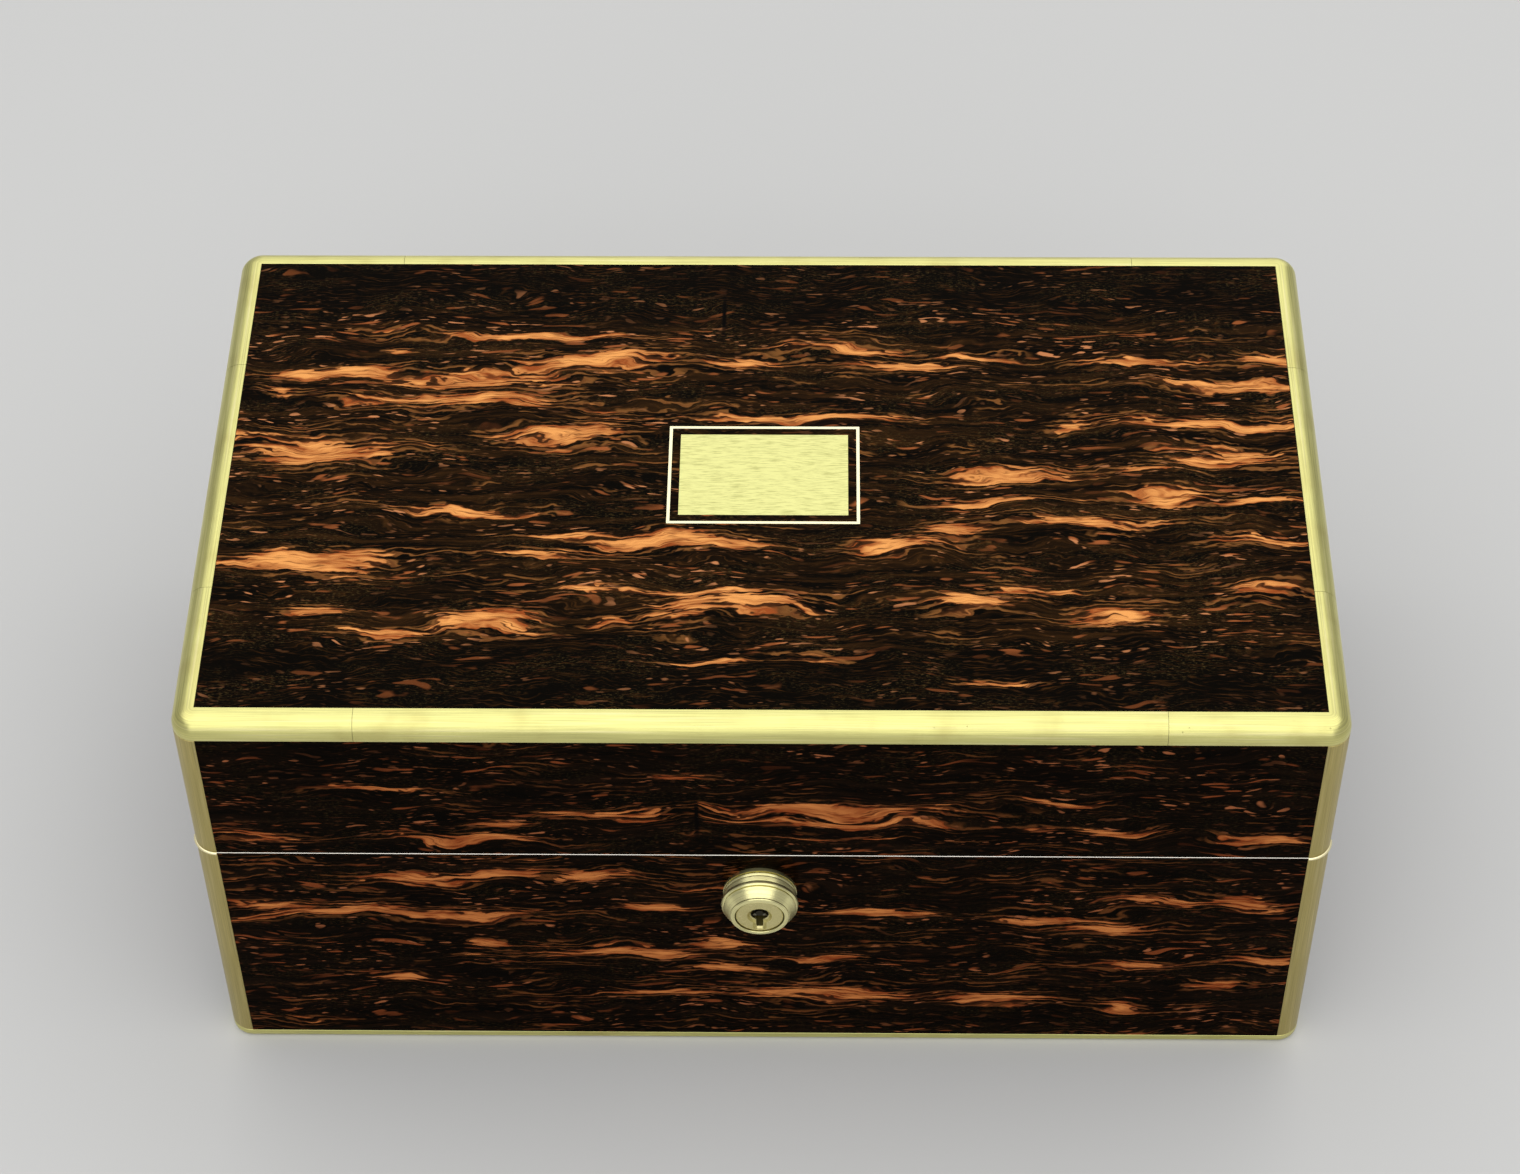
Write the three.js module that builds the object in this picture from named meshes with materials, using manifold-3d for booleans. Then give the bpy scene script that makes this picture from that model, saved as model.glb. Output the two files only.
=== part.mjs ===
// A travelling jewelry box: a veneered carcass bound in brass, a deep lid on two stop hinges,
// a turned key lock let into the front wall, and a lift-out tray.
// Millimetres. X runs left to right, the front faces -Y, +Z is up.
// The origin is the centre of the underside. The box is shut and unlocked.
import * as THREE from "three";
import { mergeVertices } from "three/addons/utils/BufferGeometryUtils.js";
import Module from "manifold-3d";

const wasm = await Module();
wasm.setup();

// Overall size: a box of 12 by 7 by 5 1/2 inches.
const boxWidth = 305;
const boxDepth = 178.5;
const boxHeight = 140.7;
const partingHeight = 86.9;
const rimGap = 0.3;

// Carcass boards, the veneer on them and the cloth under the bottom.
const wallThickness = 8.4;
const bottomThickness = 7;
const topThickness = 8.4;
const veneerThickness = 1.1;
const clothThickness = 0.8;
const glueLine = 0.1;

// Clearance of moving and let-in pieces, and the overrun of every cut.
const clearance = 0.3;
const overrun = 2;

// Brass edging: a rounded angle section round the lid, straps down the corners, a low strip at the foot.
const edgeWidth = 6.35;
const edgeRounding = 4.8;
const brassThickness = 2.6;
const cornerRounding = 6.3;
const cornerLeg = 47.5;
const footHeight = 3;
const footThickness = 2.6;
const footRounding = 1.5;

// Initial plate and its stringing frame in the lid top.
const plateLength = 46;
const plateBreadth = 30;
const plateThickness = 1;
const stringingMargin = 3.15;
const stringingBreadth = 0.85;
const stringingThickness = 0.6;

// Lock: place, turned nozzle, plug and keyhole.
const lockPlace = -0.5;
const lockDrop = 15.4;
const nozzleRadius = 10.45;
const nozzleReach = 9.3;
const shankRadius = 8.6;
const neckRadius = 7.6;
const boreRadius = 6.7;
const plugRecess = 0.4;
const plugFace = 1.2;
const plugFlangeRadius = 7.4;
const plugFlangeThickness = 1;
const keyholeRadius = 2.65;
const keyholeChamfer = 0.6;
const keySlotBreadth = 2.3;
const keySlotReach = 5.9;
const keySlotDepth = 8;
const centrePinRadius = 1.1;
const centrePinRecess = 1;

// Lock: sliders and their spring.
const sliderCount = 4;
const sliderThickness = 0.9;
const sliderLength = 7.5;
const sliderNoseLength = 2.5;
const sliderInnerRadius = 1.5;
const sliderTailRadius = 3;
const sliderOuterRadius = 5.3;
const sliderTravel = 2.5;
const springRadius = 2;
const springWireRadius = 0.25;
const springTurns = 5;
const springShelf = 2.3;

// Lock: body, cap, bolt and the link plate's staples.
const lockBodyLength = 60;
const lockBodyDepth = 7.2;
const lockPlateThickness = 1.2;
const topPlateLength = 72;
const topPlateThickness = 1.5;
const boltTravel = 6;
const boltThickness = 1.6;
const boltDrop = 8;
const boltTopGap = 0.6;
const crankPinRadius = 1.2;
const crankSlotPlay = 0.45;
const hookHeight = 2.5;
const hookLength = 4.2;
const hookPlay = 0.4;
const riserBreadth = 3;
const staplePlace = 15;
const stapleLength = 8;
const stapleThickness = 3;
const stapleBreadth = 4.2;
const stapleBar = 1.2;
const stapleSidePlay = 0.4;
const linkPlateLength = 60;
const linkPlateThickness = 1.5;

// Hinges, each placed from the nearer side of the box.
const hingeInset = 57.5;
const hingeLength = 60;
const middleKnuckleLength = 20;
const knuckleRadius = 3;
const hingePinRadius = 1.1;
const leafReach = 9;
const leafThickness = 1.45;
const stopReach = 5.2;
const openDegrees = 95;
const stopPlayDegrees = 2;
const stopEndDegrees = 80;

// Lining, floor pad, tray and lid padding.
const liningThickness = 3;
const floorPadThickness = 4;
const trayDrop = 2.4;
const trayHeight = 33;
const trayPlay = 1.5;
const trayWall = 4;
const trayFloor = 3;
const dividerThickness = 3;
const dividerHeight = 24;
const ringBayLength = 88;
const endBayLength = 84;
const ringRollCount = 6;
const ringCushionHeight = 20;
const ringRollDepth = 5;
const lidLiningThickness = 1;
const lidPadEdge = 5;
const lidPadCrown = 6;
const softPlay = 0.4;

// Steps of the round stretches, and the tolerance that merges equal points.
const roundSteps = 8;
const ringSides = 32;
const pinSides = 16;
const wireSides = 5;
const stepsPerTurn = 8;
const padColumns = 16;
const padRows = 10;
const mergeTolerance = 0.0001;
const quarterTurn = Math.PI / 2;

// Places worked out from the sizes above.
const halfWidth = boxWidth / 2;
const halfDepth = boxDepth / 2;
const skin = veneerThickness + glueLine;
const carcassHalfWidth = halfWidth - skin;
const carcassHalfDepth = halfDepth - skin;
const cavityHalfWidth = carcassHalfWidth - wallThickness;
const cavityHalfDepth = carcassHalfDepth - wallThickness;
const baseRim = partingHeight - rimGap / 2;
const lidRim = rimGap / 2;
const lidTop = boxHeight - partingHeight;
const boardBottom = lidTop - skin - topThickness;
const carcassBottom = clothThickness + glueLine;
const floorTop = carcassBottom + bottomThickness;
const planRadius = Math.min(cornerRounding, edgeWidth);
const edgeRadius = Math.min(edgeRounding, edgeWidth);
const pocketDepth = brassThickness + glueLine;
const pocketBreadth = edgeWidth + glueLine;
const wallInside = skin + wallThickness;
const hingePlace = halfWidth - hingeInset;

// Finishes.
const finish = (color, roughness, metalness) =>
  new THREE.MeshStandardMaterial({ color, roughness, metalness });
const materials = {
  veneer: finish(0x2a1a10, 0.25, 0),
  carcass: finish(0x6b3a20, 0.6, 0),
  brass: finish(0xd8c070, 0.3, 1),
  steel: finish(0x9a9a98, 0.35, 1),
  velvet: finish(0x3a1030, 0.9, 0),
  silk: finish(0x5a1c48, 0.6, 0),
  baize: finish(0x20402c, 0.95, 0),
};

// Merges equal points, drops collapsed faces and turns the faces outwards.
function closed(geometry) {
  const bare = new THREE.BufferGeometry();
  bare.setAttribute("position", geometry.getAttribute("position").clone());
  if (geometry.index) bare.setIndex(geometry.index.clone());
  const merged = mergeVertices(bare, mergeTolerance);
  const points = merged.getAttribute("position");
  const corners = [new THREE.Vector3(), new THREE.Vector3(), new THREE.Vector3()];
  const faces = [];
  let volume = 0;
  for (let first = 0; first < merged.index.count; first += 3) {
    const face = [0, 1, 2].map((step) => merged.index.getX(first + step));
    if (new Set(face).size < 3) continue;
    corners.forEach((corner, step) => corner.fromBufferAttribute(points, face[step]));
    volume += corners[0].dot(corners[1].cross(corners[2]));
    faces.push(face);
  }
  if (volume < 0) faces.forEach((face) => face.reverse());
  merged.setIndex(faces.flat());
  return merged;
}

function solid(geometry) {
  const shell = closed(geometry);
  const vertProperties = shell.getAttribute("position").array;
  const triVerts = new Uint32Array(shell.index.array);
  return new wasm.Manifold(new wasm.Mesh({ numProp: 3, vertProperties, triVerts }));
}

function geometryOf(body) {
  const mesh = body.getMesh();
  const geometry = new THREE.BufferGeometry();
  geometry.setAttribute("position", new THREE.BufferAttribute(mesh.vertProperties, 3));
  geometry.setIndex(new THREE.BufferAttribute(mesh.triVerts, 1));
  return geometry;
}

function joined(...geometries) {
  return geometryOf(geometries.map(solid).reduce((whole, next) => whole.add(next)));
}

function cut(geometry, ...cutters) {
  return geometryOf(cutters.map(solid).reduce((whole, next) => whole.subtract(next), solid(geometry)));
}

// A box between two limits on each axis.
function block([x0, x1], [y0, y1], [z0, z1]) {
  const geometry = new THREE.BoxGeometry(x1 - x0, y1 - y0, z1 - z0);
  return geometry.translate((x0 + x1) / 2, (y0 + y1) / 2, (z0 + z1) / 2);
}

const both = (half) => [-half, half];

// Outlines in x and y carried along Z, in x and z along Y, and in y and z along X.
function prismZ(outline, [z0, z1]) {
  const options = { depth: z1 - z0, bevelEnabled: false, curveSegments: roundSteps };
  return new THREE.ExtrudeGeometry(outline, options).translate(0, 0, z0);
}

function prismY(outline, [y0, y1]) {
  return prismZ(outline, [0, y1 - y0]).rotateX(quarterTurn).translate(0, y1, 0);
}

function prismX(outline, [x0, x1]) {
  const turn = new THREE.Matrix4().makeBasis(
    new THREE.Vector3(0, 1, 0),
    new THREE.Vector3(0, 0, 1),
    new THREE.Vector3(1, 0, 0),
  );
  return prismZ(outline, [0, x1 - x0]).applyMatrix4(turn).translate(x0, 0, 0);
}

const outlineOf = (points) => new THREE.Shape(points.map(([u, v]) => new THREE.Vector2(u, v)));

const rectangle = (halfX, halfY) =>
  outlineOf([
    [-halfX, -halfY],
    [halfX, -halfY],
    [halfX, halfY],
    [-halfX, halfY],
  ]);

// Round bars along X and along Y, and a turned profile of radii and places along Y.
function barX(radius, [x0, x1], sides) {
  const bar = new THREE.CylinderGeometry(radius, radius, x1 - x0, sides);
  return bar.rotateZ(quarterTurn).translate((x0 + x1) / 2, 0, 0);
}

function barY(radius, [y0, y1], sides) {
  return new THREE.CylinderGeometry(radius, radius, y1 - y0, sides).translate(0, (y0 + y1) / 2, 0);
}

function turned(profile) {
  return new THREE.LatheGeometry(profile.map(([r, y]) => new THREE.Vector2(r, y)), ringSides);
}

// A section of insets and heights carried past stations; each station turns an inset into x and y.
function swept(section, stations, isLoop) {
  const contour = section.map(([inset, height]) => new THREE.Vector2(inset, height));
  if (THREE.ShapeUtils.isClockWise(contour)) contour.reverse();
  const size = contour.length;
  const positions = stations.flatMap((station) => contour.flatMap((at) => [...station(at.x), at.y]));
  const faces = [];
  const spans = isLoop ? stations.length : stations.length - 1;
  for (let span = 0; span < spans; span++) {
    const near = span * size;
    const far = ((span + 1) % stations.length) * size;
    for (let k = 0; k < size; k++) {
      const next = (k + 1) % size;
      faces.push(near + k, near + next, far + next, near + k, far + next, far + k);
    }
  }
  if (!isLoop) {
    const last = spans * size;
    for (const [a, b, c] of THREE.ShapeUtils.triangulateShape(contour, [])) {
      faces.push(c, b, a, last + a, last + b, last + c);
    }
  }
  const geometry = new THREE.BufferGeometry();
  geometry.setAttribute("position", new THREE.Float32BufferAttribute(positions, 3));
  geometry.setIndex(faces);
  return closed(geometry);
}

// Stations round a plan corner whose tip is at the origin and whose sides run along -X and -Y.
function cornerStations(radius) {
  const stations = [];
  for (let step = 0; step <= roundSteps; step++) {
    const angle = quarterTurn * (1 - step / roundSteps);
    stations.push((inset) => {
      const centre = -Math.max(radius, inset);
      const reach = Math.max(radius - inset, 0);
      return [centre + reach * Math.cos(angle), centre + reach * Math.sin(angle)];
    });
  }
  return stations;
}

// The four corners of the box in plan, each with the turn that brings the first corner to it.
const corners = [
  { name: "back_right", x: 1, y: 1, turn: 0 },
  { name: "back_left", x: -1, y: 1, turn: quarterTurn },
  { name: "front_left", x: -1, y: -1, turn: 2 * quarterTurn },
  { name: "front_right", x: 1, y: -1, turn: 3 * quarterTurn },
];

function loopStations() {
  return corners.flatMap(({ x, y, turn }) =>
    cornerStations(planRadius)
      .reverse()
      .map((station) => (inset) => {
        const at = new THREE.Vector2(...station(inset)).rotateAround(new THREE.Vector2(), turn);
        return [x * halfWidth + at.x, y * halfDepth + at.y];
      }),
  );
}

// An arc as a list of points, from one angle in degrees to another.
function arc(centreU, centreV, radius, from, to, steps) {
  const points = [];
  for (let step = 0; step <= steps; step++) {
    const angle = THREE.MathUtils.degToRad(from + ((to - from) * step) / steps);
    points.push([centreU + radius * Math.cos(angle), centreV + radius * Math.sin(angle)]);
  }
  return points;
}

// The carcass outline, stepped back at each corner for the brass strap.
function notchedOutline() {
  const strapX = halfWidth - pocketDepth;
  const strapY = halfDepth - pocketDepth;
  const besideX = halfWidth - pocketBreadth;
  const besideY = halfDepth - pocketBreadth;
  const quarter = [
    [carcassHalfWidth, besideY],
    [strapX, besideY],
    [strapX, strapY],
    [besideX, strapY],
    [besideX, carcassHalfDepth],
  ];
  const mirrored = (sx, sy) => quarter.map(([x, y]) => [sx * x, sy * y]);
  return outlineOf([
    ...mirrored(1, 1),
    ...mirrored(-1, 1).reverse(),
    ...mirrored(-1, -1),
    ...mirrored(1, -1).reverse(),
  ]);
}

function ringOutline(outer, hole) {
  outer.holes.push(hole);
  return outer;
}

// The plan outline of the box drawn in by an inset, its corners rounded by what the inset leaves.
const insetOutline = (inset) => outlineOf(loopStations().map((station) => station(inset)));

// Everything outside an inset outline, between two heights.
const surround = (inset, heights) =>
  prismZ(ringOutline(insetOutline(-overrun), insetOutline(inset)), heights);

const box = new THREE.Group();
const lid = new THREE.Group();
lid.position.z = partingHeight;
box.add(lid);

function piece(name, geometry, material, parent) {
  const mesh = new THREE.Mesh(geometry, material);
  mesh.name = name;
  parent.add(mesh);
  return mesh;
}

// Cutters of the lock, in the lock's frame: its axis at x 0 and z 0, the box front at y 0, inwards +Y.
const lockFace = wallInside - lockBodyDepth;
const lockBottom = -(boltDrop + clearance + lockPlateThickness);
const lockTop = lockDrop - rimGap / 2;
const topPlateBottom = lockTop - topPlateThickness;
const linkPlateBottom = lockDrop + rimGap / 2;
const lockPocket = joined(
  block(
    both(lockBodyLength / 2 + clearance),
    [lockFace - clearance, wallInside + overrun],
    [lockBottom - clearance, lockTop + overrun],
  ),
  block(
    both(topPlateLength / 2 + clearance),
    [lockFace - clearance, wallInside + overrun],
    [topPlateBottom - clearance, lockTop + overrun],
  ),
  barY(shankRadius + clearance, [-overrun, lockFace], ringSides),
);
const linkPlatePocket = block(
  both(linkPlateLength / 2 + clearance),
  [lockFace - clearance, wallInside + overrun],
  [linkPlateBottom - overrun, linkPlateBottom + linkPlateThickness + clearance],
);
const lockCentre = [lockPlace, -halfDepth, partingHeight - lockDrop];
const lidLockCentre = [lockPlace, -halfDepth, -lockDrop];

// Cutters of a hinge, in the hinge's frame: its pin on the X axis, the box on the -Y side.
const leafFace = rimGap / 2;
const leafBack = leafFace + leafThickness;
const hingeSpan = both(hingeLength / 2 + clearance);
function hingePocket(side) {
  const heights = [-side * overrun, side * (leafBack + clearance)].sort((a, b) => a - b);
  return joined(
    block(hingeSpan, [-leafReach - clearance, overrun], heights),
    barX(knuckleRadius + clearance, hingeSpan, ringSides),
  );
}
const hingeSides = [
  { name: "left", x: -hingePlace },
  { name: "right", x: hingePlace },
];
const baseHingePockets = hingeSides.map(({ x }) => hingePocket(-1).translate(x, halfDepth, partingHeight));
const lidHingePockets = hingeSides.map(({ x }) => hingePocket(1).translate(x, halfDepth, 0));

// Base carcass: four walls joined as one frame, and the bottom board inside it.
const carcassRing = () => ringOutline(notchedOutline(), rectangle(cavityHalfWidth, cavityHalfDepth));
const footPocket = surround(footThickness + glueLine, [-overrun, footHeight + glueLine]);
piece(
  "base_walls",
  cut(
    prismZ(carcassRing(), [carcassBottom, baseRim]),
    footPocket,
    lockPocket.clone().translate(...lockCentre),
    ...baseHingePockets,
  ),
  materials.carcass,
  box,
);
piece(
  "base_bottom_board",
  block(both(cavityHalfWidth - glueLine), both(cavityHalfDepth - glueLine), [carcassBottom, floorTop]),
  materials.carcass,
  box,
);

// Cloth on the underside, inside the foot edging.
piece(
  "base_underside_cloth",
  closed(prismZ(insetOutline(footThickness + glueLine), [0, clothThickness])),
  materials.baize,
  box,
);

// Foot edging: a low brass strip with a rounded lower edge, carried right round.
const footRadius = Math.min(footRounding, footThickness, footHeight);
piece(
  "base_foot_edging",
  swept(
    [
      [0, footHeight],
      ...arc(footRadius, footRadius, footRadius, 180, 270, roundSteps / 2),
      [footThickness, 0],
      [footThickness, footHeight],
    ],
    loopStations(),
    true,
  ),
  materials.brass,
  box,
);

// Vertical corner straps, on the base and on the lid.
const strapOutline = outlineOf([
  [-edgeWidth, 0],
  ...arc(-planRadius, -planRadius, planRadius, 90, 0, roundSteps),
  [0, -edgeWidth],
  [-brassThickness, -edgeWidth],
  [-brassThickness, -brassThickness],
  [-edgeWidth, -brassThickness],
]);
for (const { name, x, y, turn } of corners) {
  const baseStrap = piece(
    "base_corner_strap_" + name,
    closed(prismZ(strapOutline, [footHeight + glueLine, baseRim])),
    materials.brass,
    box,
  );
  baseStrap.position.set(x * halfWidth, y * halfDepth, 0);
  baseStrap.rotation.z = turn;
  const lidStrap = piece(
    "lid_corner_strap_" + name,
    closed(prismZ(strapOutline, [lidRim, lidTop - edgeWidth - glueLine])),
    materials.brass,
    lid,
  );
  lidStrap.position.set(x * halfWidth, y * halfDepth, 0);
  lidStrap.rotation.z = turn;
}

// Cast corner pieces and the strips between them, round the lid's top edge.
const edgeSection = [
  [edgeWidth, 0],
  ...arc(edgeRadius, -edgeRadius, edgeRadius, 90, 180, roundSteps),
  [0, -edgeWidth],
  [brassThickness, -edgeWidth],
  [brassThickness, -brassThickness],
  [edgeWidth, -brassThickness],
];
const cornerPiece = swept(
  edgeSection,
  [(inset) => [-cornerLeg, -inset], ...cornerStations(planRadius), (inset) => [-inset, -cornerLeg]],
  false,
);
for (const { name, x, y, turn } of corners) {
  const mesh = piece("lid_corner_piece_" + name, cornerPiece, materials.brass, lid);
  mesh.position.set(x * halfWidth, y * halfDepth, lidTop);
  mesh.rotation.z = turn;
}
const stripSides = [
  { name: "back", x: 0, y: halfDepth, half: halfWidth, turn: 0 },
  { name: "left", x: -halfWidth, y: 0, half: halfDepth, turn: quarterTurn },
  { name: "front", x: 0, y: -halfDepth, half: halfWidth, turn: 2 * quarterTurn },
  { name: "right", x: halfWidth, y: 0, half: halfDepth, turn: 3 * quarterTurn },
];
for (const { name, x, y, half, turn } of stripSides) {
  const reach = half - cornerLeg - glueLine;
  const strip = swept(
    edgeSection,
    [(inset) => [-reach, -inset], (inset) => [reach, -inset]],
    false,
  );
  const mesh = piece("lid_edge_strip_" + name, strip, materials.brass, lid);
  mesh.position.set(x, y, lidTop);
  mesh.rotation.z = turn;
}

// Veneers of the base and the lid, sheets between the brass.
const sheetHalfWidth = halfWidth - pocketBreadth;
const sheetHalfDepth = halfDepth - pocketBreadth;
const longSheet = (heights) => block(both(sheetHalfWidth), [0, veneerThickness], heights);
const shortSheet = (heights) => block(both(sheetHalfDepth), [0, veneerThickness], heights);
const baseHeights = [footHeight + glueLine, baseRim];
const lidHeights = [lidRim, lidTop - pocketBreadth];
const nozzleHole = barY(shankRadius + clearance, both(overrun), ringSides).translate(
  lockPlace,
  0,
  partingHeight - lockDrop,
);
const sheets = [
  ["base_veneer_front", cut(longSheet(baseHeights), nozzleHole), box, [0, -halfDepth], 0],
  ["base_veneer_left", shortSheet(baseHeights), box, [-halfWidth, 0], 3 * quarterTurn],
  ["base_veneer_right", shortSheet(baseHeights), box, [halfWidth, 0], quarterTurn],
  ["lid_veneer_front", longSheet(lidHeights), lid, [0, -halfDepth], 0],
  ["lid_veneer_left", shortSheet(lidHeights), lid, [-halfWidth, 0], 3 * quarterTurn],
  ["lid_veneer_right", shortSheet(lidHeights), lid, [halfWidth, 0], quarterTurn],
];
for (const [name, geometry, parent, [x, y], turn] of sheets) {
  const mesh = piece(name, geometry, materials.veneer, parent);
  mesh.position.set(x, y, 0);
  mesh.rotation.z = turn;
}
const backSheet = (heights) =>
  block(both(sheetHalfWidth), [halfDepth - veneerThickness, halfDepth], heights);
piece("base_veneer_back", cut(backSheet(baseHeights), ...baseHingePockets), materials.veneer, box);
piece("lid_veneer_back", cut(backSheet(lidHeights), ...lidHingePockets), materials.veneer, lid);

// Top veneer, with a window for the plate and a groove for the stringing.
const stringingHalfX = plateLength / 2 + stringingMargin;
const stringingHalfY = plateBreadth / 2 + stringingMargin;
const groove = ringOutline(
  rectangle(stringingHalfX + glueLine, stringingHalfY + glueLine),
  rectangle(
    stringingHalfX - stringingBreadth - glueLine,
    stringingHalfY - stringingBreadth - glueLine,
  ),
);
const plateWindow = block(
  both(plateLength / 2 + glueLine),
  both(plateBreadth / 2 + glueLine),
  [lidTop - veneerThickness - overrun, lidTop + overrun],
);
piece(
  "lid_veneer_top",
  cut(
    block(both(sheetHalfWidth), both(sheetHalfDepth), [lidTop - veneerThickness, lidTop]),
    plateWindow,
    prismZ(groove, [lidTop - stringingThickness - glueLine, lidTop + overrun]),
  ),
  materials.veneer,
  lid,
);
piece(
  "initial_plate",
  block(both(plateLength / 2), both(plateBreadth / 2), [lidTop - plateThickness, lidTop]),
  materials.brass,
  lid,
);
piece(
  "plate_stringing",
  closed(
    prismZ(
      ringOutline(
        rectangle(stringingHalfX, stringingHalfY),
        rectangle(stringingHalfX - stringingBreadth, stringingHalfY - stringingBreadth),
      ),
      [lidTop - stringingThickness, lidTop],
    ),
  ),
  materials.brass,
  lid,
);

// Lid carcass: a frame of four walls under a top board.
piece(
  "lid_walls",
  cut(
    prismZ(carcassRing(), [lidRim, boardBottom - glueLine]),
    linkPlatePocket.clone().translate(...lidLockCentre),
    ...lidHingePockets,
  ),
  materials.carcass,
  lid,
);
piece(
  "lid_top_board",
  cut(
    prismZ(notchedOutline(), [boardBottom, lidTop - skin]),
    surround(pocketDepth, [lidTop - pocketBreadth, lidTop + overrun]),
    surround(pocketBreadth, [lidTop - pocketDepth, lidTop + overrun]),
  ),
  materials.carcass,
  lid,
);

// Lock nozzle: a turned profile in shares of its greatest radius and of its reach from the box front.
const nozzleProfileShares = [
  [0.93, 0],
  [0.93, 0.1],
  [0.895, 0.115],
  [0.895, 0.14],
  [0.94, 0.155],
  [0.94, 0.19],
  [0.9, 0.2],
  [0.9, 0.225],
  [0.955, 0.24],
  [0.955, 0.34],
  [0.94, 0.35],
  [0.94, 0.365],
  [0.965, 0.38],
  [0.965, 0.5],
  [0.99, 0.52],
  [1, 0.56],
  [1, 0.61],
  [0.985, 0.655],
  [0.93, 0.67],
  [0.92, 0.7],
  [0.875, 0.735],
  [0.815, 0.785],
  [0.775, 0.84],
  [0.755, 0.9],
  [0.75, 0.955],
  [0.725, 1],
];
const lock = new THREE.Group();
lock.position.set(...lockCentre);
box.add(lock);
const mouthShare = 0.99;
piece(
  "lock_nozzle",
  closed(
    turned([
      [boreRadius, lockFace + lockPlateThickness],
      [boreRadius, -nozzleReach * mouthShare],
      [boreRadius + nozzleReach * (1 - mouthShare), -nozzleReach],
      ...nozzleProfileShares.map(([radius, out]) => [radius * nozzleRadius, -out * nozzleReach]).reverse(),
      [shankRadius, 0],
      [shankRadius, lockFace - glueLine],
      [neckRadius, lockFace - glueLine],
      [neckRadius, lockFace + lockPlateThickness],
      [boreRadius, lockFace + lockPlateThickness],
    ]),
  ),
  materials.brass,
  lock,
);

// Lock body: a shallow steel tray let into the wall from inside, with the brass top plate at the rim.
const bodyInside = lockFace + lockPlateThickness;
const capFace = wallInside - lockPlateThickness;
const boltMiddle = (bodyInside + capFace) / 2;
const stapleSlots = [-staplePlace, staplePlace].map((x) =>
  block(
    [x - stapleThickness / 2 - stapleSidePlay, x + stapleThickness / 2 + stapleSidePlay],
    [boltMiddle - stapleBreadth / 2 - clearance, boltMiddle + stapleBreadth / 2 + clearance],
    [topPlateBottom - overrun, lockTop + overrun],
  ),
);
const bodyHalfInside = lockBodyLength / 2 - lockPlateThickness;
piece(
  "lock_body",
  cut(
    joined(
      block(both(lockBodyLength / 2), [lockFace, wallInside], [lockBottom, lockTop]),
      block(both(topPlateLength / 2), [lockFace, wallInside], [topPlateBottom, lockTop]),
    ),
    block(
      both(bodyHalfInside),
      [bodyInside, wallInside + overrun],
      [lockBottom + lockPlateThickness, topPlateBottom],
    ),
    barY(neckRadius + clearance, [lockFace - overrun, bodyInside + overrun], ringSides),
    ...stapleSlots,
  ),
  materials.brass,
  lock,
);
piece(
  "lock_cap",
  block(
    both(bodyHalfInside - glueLine),
    [capFace, wallInside],
    [lockBottom + lockPlateThickness + glueLine, topPlateBottom - glueLine],
  ),
  materials.brass,
  lock,
);

// Plug: turns in the nozzle; its rear flange carries the crank pin that shifts the bolt.
const plugFront = plugRecess - nozzleReach;
const plugRadius = boreRadius - clearance;
const flangeFront = bodyInside + clearance;
const flangeBack = flangeFront + plugFlangeThickness;
const crankRadius = boltTravel / Math.SQRT2;
const sliderFront = plugFront + plugFace + clearance;
const noseBack = sliderFront + sliderNoseLength;
const sliderSlotEnd = sliderFront + sliderLength + sliderTravel + clearance;
const springSeat = lockFace + lockPlateThickness - springShelf;
const pinPassRadius = centrePinRadius + clearance;
const sliderAngles = Array.from({ length: sliderCount }, (_, k) => ((k + 0.5) * 2 * Math.PI) / sliderCount);
const keyhole = turned([
  [0, plugFront - overrun],
  [keyholeRadius + keyholeChamfer + overrun, plugFront - overrun],
  [keyholeRadius, plugFront + keyholeChamfer],
  [keyholeRadius, springSeat],
  [0, springSeat],
]);
const sliderSlots = sliderAngles.map((angle) =>
  block(
    [sliderInnerRadius, sliderOuterRadius + clearance],
    [plugFront + plugFace, sliderSlotEnd],
    both(sliderThickness / 2 + clearance),
  ).rotateY(angle),
);
const crankPinEnd = boltMiddle + boltThickness / 2 + clearance;
const crankPin = barY(crankPinRadius, [flangeBack - glueLine, crankPinEnd], pinSides);
const crankReach = boltTravel / 2;
piece(
  "lock_plug",
  cut(
    joined(
      turned([
        [0, plugFront],
        [plugRadius, plugFront],
        [plugRadius, flangeFront],
        [plugFlangeRadius, flangeFront],
        [plugFlangeRadius, flangeBack],
        [0, flangeBack],
      ]),
      crankPin.translate(-crankReach, 0, crankReach),
    ),
    keyhole,
    block(both(keySlotBreadth / 2), [plugFront - overrun, plugFront + keySlotDepth], [-keySlotReach, 0]),
    barY(pinPassRadius, [springSeat - overrun, flangeBack + overrun], pinSides),
    ...sliderSlots,
  ),
  materials.brass,
  lock,
);
piece(
  "lock_centre_pin",
  closed(barY(centrePinRadius, [plugFront + centrePinRecess, capFace - glueLine], pinSides)),
  materials.steel,
  lock,
);

// Sliders: flat plates that the key presses back against the spring.
const sliderOutline = outlineOf([
  [sliderInnerRadius, sliderFront],
  [sliderOuterRadius, sliderFront],
  [sliderOuterRadius, sliderFront + sliderLength],
  [sliderTailRadius, sliderFront + sliderLength],
  [sliderTailRadius, noseBack],
  [sliderInnerRadius, noseBack],
]);
sliderAngles.forEach((angle, k) => {
  const slider = prismZ(sliderOutline, both(sliderThickness / 2));
  piece("lock_slider_" + (k + 1), closed(slider), materials.steel, lock).rotation.y = angle;
});

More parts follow.
